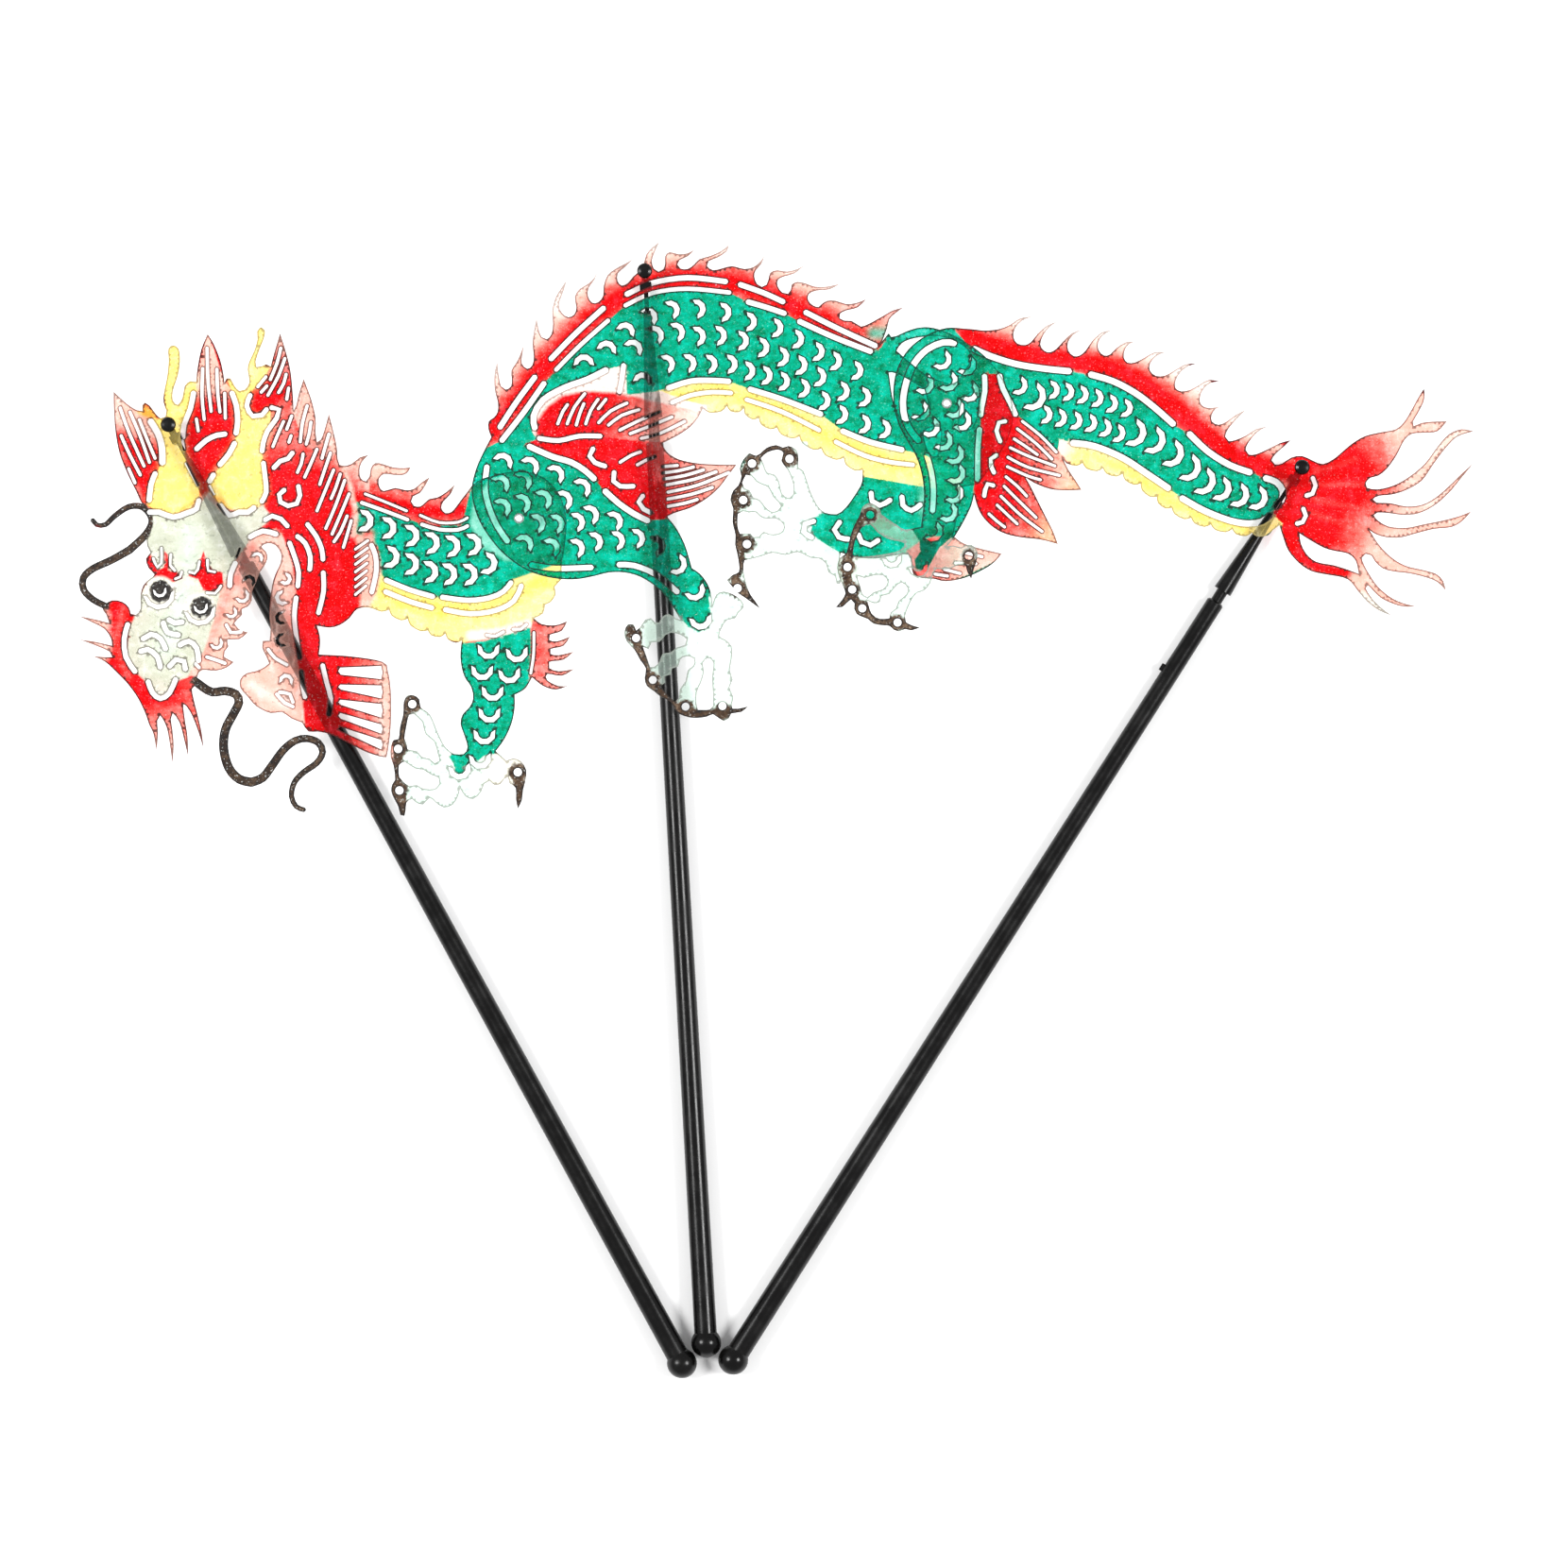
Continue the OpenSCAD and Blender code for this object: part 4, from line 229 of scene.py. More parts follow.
    # face
    c.lay(FACE, c.area([(-200.4, 97), (-200.6, 84), (-199, 75), (-202.8, 67), (-203.6, 62.4),
                        (-205.6, 58), (-206.2, 50), (-203, 44), (-199.8, 41), (-195.5, 35.2),
                        (-190.6, 41.4), (-187, 42.6), (-181.6, 51), (-178, 62), (-176.4, 70),
                        (-171.4, 80), (-165.4, 88.6), (-160, 93.4), (-163, 97.6), (-166, 95.8),
                        (-170, 94.6), (-176, 96), (-180, 101.6), (-183.4, 97.8), (-187, 94.8),
                        (-191.5, 93.2), (-196, 95.2)], 0.7))
    c.lay(MINT, c.line([(-186, 88), (-188, 70), (-194, 52)], 2.4, 7) * 0.6)
    c.lay(PINK, c.line([(-197, 95.6), (-191.5, 93.8), (-186, 95.8), (-181, 101), (-176, 96), (-168, 94.6)],
                       0.5, 1.2) * 0.7)
    c.lay(RED, c.area([(-200.6, 81.6), (-199.6, 77.8), (-197, 73.6), (-191.4, 73), (-188, 74.4),
                       (-190.4, 76.4), (-192.4, 76.2), (-192.8, 80.8), (-194.2, 83), (-194.4, 77.6),
                       (-196.4, 76.6), (-198.8, 81.6)], 0.4))
    c.lay(RED, c.area([(-187, 75), (-183.6, 74), (-181.8, 70.4), (-178, 69.8), (-175.6, 72.4), (-175.8, 76),
                       (-178.6, 76.8), (-180.6, 78.4), (-181.8, 83), (-183, 79.6), (-183.4, 76.4)], 0.4))
    for x, y in ((-195.4, 70.1), (-182.5, 65)):
        c.lay(CREAM, c.dots([(x - 0.3, y - 0.6)], 5.2, 1.2))
        c.lay(INK, c.dots([(x, y)], 3.55))
    # cheek fringe, throat and jaw
    cheek = c.area([(-186.6, 43), (-181.8, 50.6), (-178.2, 62), (-176.4, 70), (-171.4, 80),
                    (-165.4, 88.4), (-158.6, 90), (-155.4, 82), (-158.6, 76), (-164, 72), (-166, 66),
                    (-166, 56), (-172, 46), (-182, 43.4)], 0.6)
    c.lay(PINK, cheek)
    c.lay(CORAL, cheek * 0.45 * c.line([(-181, 49), (-177, 62), (-172, 74), (-166, 84)], 1, 3))
    throat = c.area([(-161, 89), (-157, 88.6), (-153.6, 79), (-152.4, 70), (-153.8, 60), (-152.8, 52),
                     (-151.6, 46), (-150.4, 36), (-149.6, 27), (-174, 30), (-173, 44), (-164, 48),
                     (-164.4, 56), (-161, 62), (-160, 72), (-157, 80)], 0.7)
    c.lay(PINK, throat)
    c.lay(CORAL, throat * 0.4 * c.line([(-153.6, 76), (-154.4, 60), (-151.6, 44)], 0.8, 2.6))
    c.lay(BLUSH, c.line([(-166, 40), (-160, 36), (-156, 34)], 1.6, 4) * 0.7)
    # lips, cheek spikes and beard
    c.lay(PINK, c.area([(-222, 66), (-212.4, 66), (-211.4, 60), (-212.2, 57.6), (-211, 54.6),
                        (-211.2, 50.6), (-213, 47), (-222, 47)], 2.6))
    c.lay(CORAL, c.line([(-207, 64), (-210, 54), (-206, 43)], 1, 3) * 0.4)
    beard = c.area([(-203, 38), (-180, 44), (-180, 14), (-200, 14)], 0.4)
    c.lay(CORAL, beard * c.ramp((-194, 36), (-193, 29)))
    c.lay(PINK, beard * c.ramp((-192, 30), (-191, 22)) * 0.8)
    c.lay(CORAL, beard * 0.6 * c.ramp((-192, 34), (-184, 34)))
    # comb
    comb = c.area([(-146, 50), (-122, 49), (-121.6, 15), (-140, 22)], 0.4)
    c.lay(CORAL, comb * c.ramp((-137, 36), (-130, 36)) * 0.9)
    c.lay(PINK, comb * c.ramp((-129, 36), (-124.6, 36)))
    # whiskers
    c.lay(WHISKER, c.line([(-217, 92.6), (-213, 91.2), (-205.5, 96.9), (-201, 96.7), (-199.4, 94.4)], 1.3))
    c.lay(WHISKER, c.line([(-199.4, 93.4), (-199.2, 92), (-200.3, 88.3), (-205.3, 83.2), (-211, 80),
                           (-217, 77.2), (-220, 74.3), (-219.9, 70.6), (-217, 67.5), (-213, 65.6)], 1.5))
    c.lay(WHISKER, c.line([(-184.2, 41.4), (-182, 39.6), (-179, 38), (-175, 38.4), (-171.8, 37.4),
                           (-170.8, 34.7), (-172.6, 30.6), (-174.9, 26), (-175.4, 20), (-173.8, 14),
                           (-170.5, 10.4), (-166.6, 9.4), (-163, 10.9), (-160, 14.8), (-156.5, 19.6),
                           (-152.7, 22.6), (-149, 23.2), (-145.4, 22)], 1.75))
    c.lay(WHISKER, c.line([(-145.4, 22), (-144, 19), (-145.8, 15.6), (-150, 12.6), (-153, 9.3), (-153.9, 5),
                         (-152.4, 1.7), (-150, 0.7)], 1.6))


def paint_middle(c):
    """Back, belly, wing fins and the two middle legs."""
    # dorsal band and flames
    low_slots = [(-92, 115.6), (-87, 118), (-80, 127), (-73.7, 136), (-69.8, 140.4), (-62, 148.3),
                 (-53.3, 156), (-47.8, 160.8), (-39, 164.8), (-28, 166.1), (-14.8, 164.9), (-8.8, 161.9),
                 (-3, 160.2), (2.6, 158.3), (7.5, 155.7), (18, 150.9), (30, 146.2), (33.4, 147.4)]
    high_slots = [(-90, 121), (-82.5, 130), (-76.6, 138), (-71.4, 143.9), (-63.5, 152), (-54.8, 159.9),
                  (-47.3, 164.4), (-39, 168), (-28, 169.6), (-16, 168.4), (-11.3, 167.4), (-4, 164.8),
                  (2.2, 162), (9.5, 158.6), (20, 153.3), (31.5, 148.4)]
    flames = c.area(low_slots + [(36, 152.4), (48, 165), (48, 190), (-100, 190), (-100, 116)])
    c.lay(RED, flames)
    c.lay(CORAL, flames * c.away(high_slots, 1.6, 4.4) * 0.7)
    c.lay(PINK, flames * c.away(high_slots, 3.6, 7.2))
    c.lay(BLUSH, flames * c.away(high_slots, 7, 11))
    c.lay(CORAL, flames * 0.55 * c.ramp((14, 150), (30, 150)))
    # belly
    belly = c.area([(-40, 133), (-34.2, 134.6), (-27, 136.8), (-20, 137), (-15, 136.7), (-8.2, 134.2),
                    (2, 131), (14.2, 126.3), (21.2, 120.9), (30, 117.4), (40, 115), (48, 113),
                    (58.6, 106), (60, 101.4), (50.5, 102.6), (27.2, 106.6), (10, 113), (-10, 122),
                    (-26, 122), (-34, 128)])
    c.lay(STRAW, belly)
    c.lay(YELLOW, belly * 0.9 * c.line([(-32, 131), (-20, 134.4), (0, 128.6), (20, 117.4), (36, 111),
                                        (56, 105)], 2.2, 3.4))
    # upper wing fin
    c.lay(BLUSH, c.area([(-77.4, 120.6), (-77.2, 126), (-74, 131), (-67, 135), (-60, 137.5), (-54, 140.5),
                         (-47.4, 142), (-47.4, 132.4), (-36.4, 133.6), (-30, 131), (-22, 129), (-22, 122),
                         (-36, 116), (-56, 118.8), (-69, 117.6), (-75.6, 118.4)]))
    upper = c.area([(-76.4, 119.6), (-76, 124), (-72.6, 128.6), (-67.4, 132.4), (-60, 133.6), (-50, 133),
                    (-36, 129.4), (-22, 126), (-35, 117.4), (-46, 117.8), (-56, 119), (-62.5, 118.8),
                    (-69, 117.6)], 1.4)
    c.lay(RED, upper)
    c.lay(CORAL, upper * 0.9 * c.ramp((-55, 128), (-44, 124)))
    c.lay(PINK, upper * c.ramp((-45, 127), (-30, 123)))
    c.lay(BLUSH, upper * c.ramp((-34, 125), (-24, 124)) * 0.8)
    # lower wing fin
    lower = c.area([(-79.6, 116.8), (-75.2, 118.6), (-69, 117.9), (-62.5, 119.1), (-55.8, 119.3),
                    (-46, 118), (-36.4, 117.4), (-34.6, 114.2), (-31, 112), (-25, 110.8), (-11, 111),
                    (-18, 102), (-27, 95.8), (-34.8, 93), (-40.8, 92.5), (-45, 94.6), (-50, 98),
                    (-54.2, 101.8), (-57.8, 105.8), (-60.7, 108.4), (-65, 111), (-71, 112.8)])
    c.lay(RED, lower)
    c.lay(CORAL, lower * 0.9 * c.ramp((-39, 102), (-29, 106)))
    c.lay(PINK, lower * 0.9 * c.ramp((-31, 103), (-17, 108)))
    c.lay(DEEP_RED, upper * c.veins((-92, 112), 8, 52, 15, (20, 66)) * 0.4)
    c.lay(DEEP_RED, lower * c.veins((-76, 128), -52, -14, 12, (26, 68)) * 0.4)
    # feet
    c.lay(MINT, c.area([(16.2, 96.2), (13.4, 94), (10, 92.4), (11.4, 90.4), (11, 88.6), (13.6, 86.4),
                        (16.4, 84.6), (20.8, 82), (23, 70), (-16, 60), (-15, 103), (-10.8, 109.8),
                        (-8, 119), (10, 117.6), (13, 100)]))
    c.lay(MINT, c.area([(-33, 65.4), (-30.4, 61.6), (-27.6, 58.6), (-24.4, 57), (-21.6, 58.6), (-20.6, 62),
                        (-21.4, 68), (-19, 74), (-6, 75), (-4, 26), (-52, 26), (-52, 63), (-38, 64)]))
    c.lay(BROWN, c.line([(5.4, 111.4), (3.6, 115.2), (-1.4, 116.2), (-6, 112.6), (-9.4, 108.4),
                         (-12.6, 103), (-13, 97), (-12.8, 90), (-11.6, 84), (-11.2, 79), (-13, 74),
                         (-11, 70.6), (-5.6, 65)], 1.5))
    c.lay(BROWN, c.dots([(4.3, 112.1), (-7.6, 110.6), (-10.4, 99), (-9.2, 85), (-12.2, 71)], 2.8))
    c.lay(BROWN, c.line([(-46.4, 58), (-44.4, 55), (-43, 50), (-41.4, 45), (-39.6, 41), (-35.4, 37.6),
                         (-32, 33.4), (-28, 31.4), (-22, 31.2), (-17, 31), (-12, 32.4), (-9, 33.4)], 1.5))
    c.lay(BROWN, c.dots([(-45, 56), (-39.1, 41.9), (-28.7, 33), (-17, 32)], 2.7))
    # elbow fin
    fin = c.area([(41.6, 83), (42.6, 78), (44, 74.4), (54, 72), (74, 81.6), (58, 87.4), (50, 87.4),
                  (46, 86)], 0.8)
    c.lay(PINK, fin)
    c.lay(RED, fin * (1 - c.ramp((47, 81), (60, 81))) * 0.75)
    c.lay(TEAL, c.line([(31, 152), (48, 151.4), (62, 144), (70, 134), (71, 122)], 2, 4) * 0.8)
    c.lay(PALE_TEAL, c.line([(56, 132), (57, 124), (57, 112), (54, 98)], 8, 4) * 0.85)
    c.lay(MINT, c.area([(65, 142), (82, 142), (82, 96), (66, 96), (65.6, 112), (65, 128)], 0.8))


def paint_rear(c):
    """Tail, its hooks, fluke and wing fin, and the last leg."""
    slots = [(57, 152.6), (60.6, 148.6), (63, 146.9), (68, 144.7), (76, 142.2), (85, 140.7), (93, 139.9),
             (100, 138.8), (107, 136.7), (114, 133), (120, 128.5), (126, 123.2), (131.3, 119.9),
             (137, 114.5), (144, 110.1), (150.4, 107.8), (155.5, 105.9), (158.8, 104.7), (160.8, 102),
             (160.5, 99), (158.9, 97)]
    back = c.area(slots + [(157.4, 94), (160.4, 90), (162, 76), (195, 55), (226, 80), (226, 130),
                           (170, 140), (100, 165), (58, 158)])
    c.lay(RED, back)
    ridge = [(60, 150.8), (70, 147.4), (84, 144.4), (97, 142.6), (108, 140), (117, 135.4), (127, 127.6),
             (138, 118), (146, 112.8), (156, 109), (164, 108)]
    hooks = c.area(slots + [(166, 110), (150, 128), (100, 165), (58, 158)], 0.5)
    c.lay(CORAL, hooks * c.away(ridge, 2.2, 4.4) * 0.8)
    c.lay(PINK, hooks * c.away(ridge, 3.8, 7))
    c.lay(BLUSH, hooks * c.away(ridge, 6.4, 9.6))
    # fluke
    fluke = c.area([(166, 114), (159, 96), (162, 76), (195, 55), (226, 80), (226, 130), (190, 135)], 0.5)
    heart = [(168, 92), (170, 104), (178, 106)]
    c.lay(CORAL, fluke * c.away(heart, 10, 17) * 0.75)
    c.lay(PINK, fluke * c.away(heart, 15, 24))
    for a, b in (((171, 108), (184, 112)), ((172, 104), (188, 104)), ((171, 99), (188, 96)),
                 ((170, 95), (186, 89))):
        c.lay(CORAL, c.line([a, b], 0.3, 2.4) * 0.3)
    c.lay(RED, c.line([(163, 86), (166, 81), (172, 77.6), (181, 75.8)], 1.6, 1.6))
    c.lay(MINT, c.line([(205, 110.8), (213, 118), (219, 120.6)], 1.2, 2) * 0.25)
    c.lay(MINT, c.line([(186, 69), (195, 62)], 1, 2) * 0.7)
    # belly
    belly = c.area([(90, 118.4), (94.3, 117.1), (101, 116.1), (110, 112.4), (118, 107.2), (124.5, 102.8),
                    (129, 99.5), (136, 95.6), (144, 92.5), (150, 91.5), (154.3, 92.2), (157.6, 94.6),
                    (161, 91.4), (150, 84), (120, 92), (88, 106)])
    c.lay(STRAW, belly)
    c.lay(YELLOW, belly * 0.8 * c.line([(98, 113.4), (110, 109.4), (122, 101), (136, 93), (150, 89.4)],
                                        1.4, 2.6))
    c.lay(BLUSH, belly * c.ramp((96, 114), (91, 116)))
    # wing fin
    wing = c.area([(66.2, 139), (66.3, 133.5), (65.3, 128.5), (64.8, 121), (64.1, 112), (62.6, 101.4),
                   (64.4, 92), (74, 84), (92, 82), (99, 101.6), (91.6, 112.8), (84.4, 118.4), (76.4, 126.2),
                   (74.3, 130), (72, 134.5), (71, 139)])
    c.lay(RED, wing)
    c.lay(CORAL, wing * c.away([(68, 136), (66, 112), (67, 100)], 9, 15) * 0.8)
    c.lay(PINK, wing * c.away([(68, 136), (66, 112), (67, 100)], 16, 24))
    c.lay(ORANGE, wing * c.away([(84, 104), (70, 120)], 0, 9) * c.ramp((88, 108), (95, 104)) * 0.3)
    c.lay(DEEP_RED, wing * c.veins((56, 128), -62, -22, 13, (16, 44)) * 0.45)
    # last foot
    foot = c.area([(42.4, 90.8), (45.6, 86), (45.8, 82.6), (44, 80), (44.4, 77.4), (46.4, 76.4), (48.6, 78),
                   (50, 80.6), (52, 84), (55.6, 87), (62, 87), (68, 84), (64, 70), (46, 55), (17, 55),
                   (17, 100), (34, 100)])
    c.lay(MINT, foot)
    c.lay(FACE, foot * c.ramp((40, 86), (33, 92)) * 0.6)
    c.lay(BROWN, c.line([(30, 95), (27, 93.4), (24.4, 87), (22.8, 81), (22.4, 75), (24, 69), (27, 64),
                         (32, 61), (38.5, 59.8), (45, 58.4)], 1.5))
    c.lay(BROWN, c.dots([(29.9, 94.3), (22.7, 77.7), (24.2, 70.6), (27.4, 64.6), (38.6, 60.1)], 2.6))
    c.lay(BROWN, c.line([(23.4, 67.6), (19, 65)], 1.5))
    c.lay(BROWN, c.line([(61.2, 81.4), (61.8, 77.6), (62, 74)], 2.3))
    c.lay(TEAL, c.line([(56, 151), (47, 147), (40.4, 138)], 1.6, 3) * 0.5)


# ---- sheets ----
# widths and spacings in mm
LINE_W = 0.55        # the dark line along every cut
GRID = 0.85          # between the paint's points inside a sheet
RIM_STEP = 0.2       # between the points that measure how far a cut is
INSET_STEP = 1.1     # along the inner edge of the dark line
NEAR_CUT = 0.17      # from a cut to the row of points just inside it
NEAR_STEP = 0.9      # along that row
NEAR_CLEAR = 0.12    # the least distance from that row to any cut
CRISP = 4            # a paint edge offset by less than this is followed by the mesh
CRISP_STEP = 0.8     # along such an edge
FLAT_TOL = 0.01      # a vertex this near the top is on the top face


def cut_loops(node):
    """The closed outlines of a flat sheet's top face, in millimetres, and the heights of its two faces."""
    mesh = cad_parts[node].data
    mesh.calc_loop_triangles()
    at = np.array([v.co for v in mesh.vertices]) / MM
    top, bottom = at[:, 2].max(), at[:, 2].min()
    keys = [(round(x, 3), round(y, 3)) for x, y in at[:, :2]]
    flat = at[:, 2] > top - FLAT_TOL
    edges = set()
    for tri in mesh.loop_triangles:
        if flat[list(tri.vertices)].all():
            k = [keys[i] for i in tri.vertices]
            for a, b in zip(k, k[1:] + k[:1]):
                if (b, a) in edges:
                    edges.remove((b, a))
                elif a != b:
                    edges.add((a, b))
    following = {}
    for a, b in sorted(edges):
        following.setdefault(a, []).append(b)
    loops = []
    while following:
        start = min(following)
        loop, here = [], start
        while True:
            loop.append(here)
            ahead = following[here]
            follower = ahead.pop()
            if not ahead:
                del following[here]
            here = follower
            if here == start or here not in following:
                break
        if len(loop) > 2:
            loops.append(np.array(loop))
    return loops, top, bottom


def beside(path, offset, step):
    """Points every step along a path, offset to either side."""
    found = []
    for a, b in zip(path[:-1], path[1:]):
        a, b = np.array(a, float), np.array(b, float)
        length = np.linalg.norm(b - a)
        if length > 1e-6:
            side = np.array([a[1] - b[1], b[0] - a[0]]) / length
            for k in range(max(1, round(length / step))):
                middle = a + (b - a) * k * step / length
                found += [middle + side * offset, middle - side * offset]
    return found


def inside_loops(points, loops):
    """True for the points in the material: inside an odd number of the closed outlines."""
    x, y = points.T
    inside = np.zeros(len(points), bool)
    for loop in loops:
        near = (y > loop[:, 1].min()) & (y < loop[:, 1].max()) & (x < loop[:, 0].max())
        here_x, here_y, odd = x[near], y[near], inside[near]
        for (x0, y0), (x1, y1) in zip(loop, np.roll(loop, -1, 0)):
            if y0 != y1:
                crossing = (y0 > here_y) != (y1 > here_y)
                odd ^= crossing & (here_x < (x1 - x0) * (here_y - y0) / (y1 - y0) + x0)
        inside[near] = odd
    return inside


def sheet_mesh(name, node, paint, base):
    """A flat closed mesh cut like the CAD node, fine enough inside for the paint and the dark cut lines."""
    loops, top, bottom = cut_loops(node)
    rim = np.concatenate(loops)
    rim_points = []
    for loop in loops:
        for a, b in zip(loop, np.roll(loop, -1, 0)):
            n = 1 + int(np.linalg.norm(b - a) / RIM_STEP)
            rim_points += [a + (b - a) * k / n for k in range(n)]
    near_rim = kdtree.KDTree(len(rim_points))
    for count, q in enumerate(rim_points):
        near_rim.insert((*q, 0), count)
    near_rim.balance()

    def to_rim(q):
        return near_rim.find((q[0], q[1], 0))[2]

    trial = Canvas(np.zeros((1, 2)), base)
    paint(trial)
    extra = [q for path, offset in trial.outlines if offset < CRISP
             for q in beside(path, offset, CRISP_STEP)]
    closed = [list(loop) + [loop[0]] for loop in loops]
    inset = [q for loop in closed for q in beside(loop, LINE_W, INSET_STEP)]
    low, high = rim.min(0), rim.max(0)
    grid = [(x, y + (i % 2) * GRID / 2) for i, x in enumerate(np.arange(low[0], high[0], GRID))
            for y in np.arange(low[1], high[1], GRID)]
    inner = [q for q in inset if to_rim(q) > LINE_W * 0.8]
    inner += [q for q in extra
              if to_rim(q) > LINE_W * 1.3 and low[0] < q[0] < high[0] and low[1] < q[1] < high[1]]
    inner += [q for q in grid if to_rim(q) > LINE_W * 1.7]
    inner += [q for loop in closed for q in beside(loop, NEAR_CUT, NEAR_STEP) if to_rim(q) > NEAR_CLEAR]

    edges, first = [], 0
    for loop in loops:
        n = len(loop)
        edges += [(first + i, first + (i + 1) % n) for i in range(n)]
        first += n
    flat = [Vector(q) for q in rim] + [Vector(q) for q in inner]
    verts, _, tris, _, _, _ = geometry.delaunay_2d_cdt(flat, edges, [], 1, 1e-4)
    solid = inside_loops(np.array([sum((verts[i] for i in t), Vector((0, 0))) / len(t) for t in tris]),
                                   loops)
    tris = [t for t, keep in zip(tris, solid) if keep]
    used = sorted({i for t in tris for i in t})
    slot_of = {v: i for i, v in enumerate(used)}
    points = np.array([verts[i] for i in used])
    tris = np.array([[slot_of[i] for i in t] for t in tris if len(t) == 3])
    area = np.cross(points[tris[:, 1]] - points[tris[:, 0]], points[tris[:, 2]] - points[tris[:, 0]])
    tris[area < 0] = tris[area < 0][:, ::-1]
    tris = tris[np.abs(area) > 1e-7]

    canvas = Canvas(points, base)
    paint(canvas)
    cut = np.array([min(to_rim(q) / LINE_W, 1) for q in points])

    sides = dict.fromkeys((a, b) for t in tris for a, b in zip(t, np.roll(t, -1)))
    walls = [(a, b) for a, b in sides if (b, a) not in sides]
    n = len(points)
    coords = np.concatenate([np.c_[points, np.full(n, top)], np.c_[points, np.full(n, bottom)]]) * MM
    faces = [tuple(t) for t in tris] + [tuple(t[::-1] + n) for t in tris]
    faces += [(b, a, a + n, b + n) for a, b in walls]
    mesh = bpy.data.meshes.new(name)
    mesh.from_pydata([tuple(c) for c in coords], [], [tuple(int(i) for i in f) for f in faces])
    colours = np.concatenate([canvas.rgba, canvas.rgba])
    mesh.color_attributes.new("paint", "FLOAT_COLOR", "POINT").data.foreach_set("color", colours.ravel())
    mesh.attributes.new("cut", "FLOAT", "POINT").data.foreach_set("value", np.concatenate([cut, cut]))
    mesh.validate()
    return mesh


# ---- materials ----
def new_material(name):
    m = bpy.data.materials.new(name)
    m.use_nodes = True
    m.node_tree.nodes.clear()
    return m, m.node_tree.nodes, m.node_tree.links


def noise(nodes, links, scale, detail=3.0, stretch=(1, 1, 1), roughness=0.55):
    """Noise in the object's own metres."""
    place = nodes.new("ShaderNodeTexCoord")
    mapping = nodes.new("ShaderNodeMapping")
    mapping.inputs["Scale"].default_value = stretch
    links.new(place.outputs["Object"], mapping.inputs["Vector"])
    tex = nodes.new("ShaderNodeTexNoise")
    tex.inputs["Scale"].default_value = scale
    tex.inputs["Detail"].default_value = detail
    tex.inputs["Roughness"].default_value = roughness
    links.new(mapping.outputs["Vector"], tex.inputs["Vector"])
    return tex.outputs["Fac"]


def spread(nodes, links, value, low, high, to_low=0.0, to_high=1.0):
    """value from low..high mapped smoothly to to_low..to_high."""
    r = nodes.new("ShaderNodeMapRange")
    r.interpolation_type = "SMOOTHSTEP"
    for socket, number in zip(("From Min", "From Max", "To Min", "To Max"), (low, high, to_low, to_high)):
        r.inputs[socket].default_value = number
    links.new(value, r.inputs["Value"])
    return r.outputs["Result"]


def blend_colour(nodes, links, how, factor, a, b):
    """Mixes colours; a factor or a colour is a number or tuple, or another node's output."""
    m = nodes.new("ShaderNodeMix")
    m.data_type = "RGBA"
    m.blend_type = how
    for socket, given in zip((m.inputs[0], m.inputs[6], m.inputs[7]), (factor, a, b)):
        if isinstance(given, (int, float, tuple)):
            socket.default_value = given
        else:
            links.new(given, socket)
    return m.outputs[2]


FACE_TINT = 0.62      # each of a sheet's two faces tints what is behind it by the paint to this power
LIGHT_PASSED = 0.85   # part of the shadow and diffuse light that the dye lets through untinted


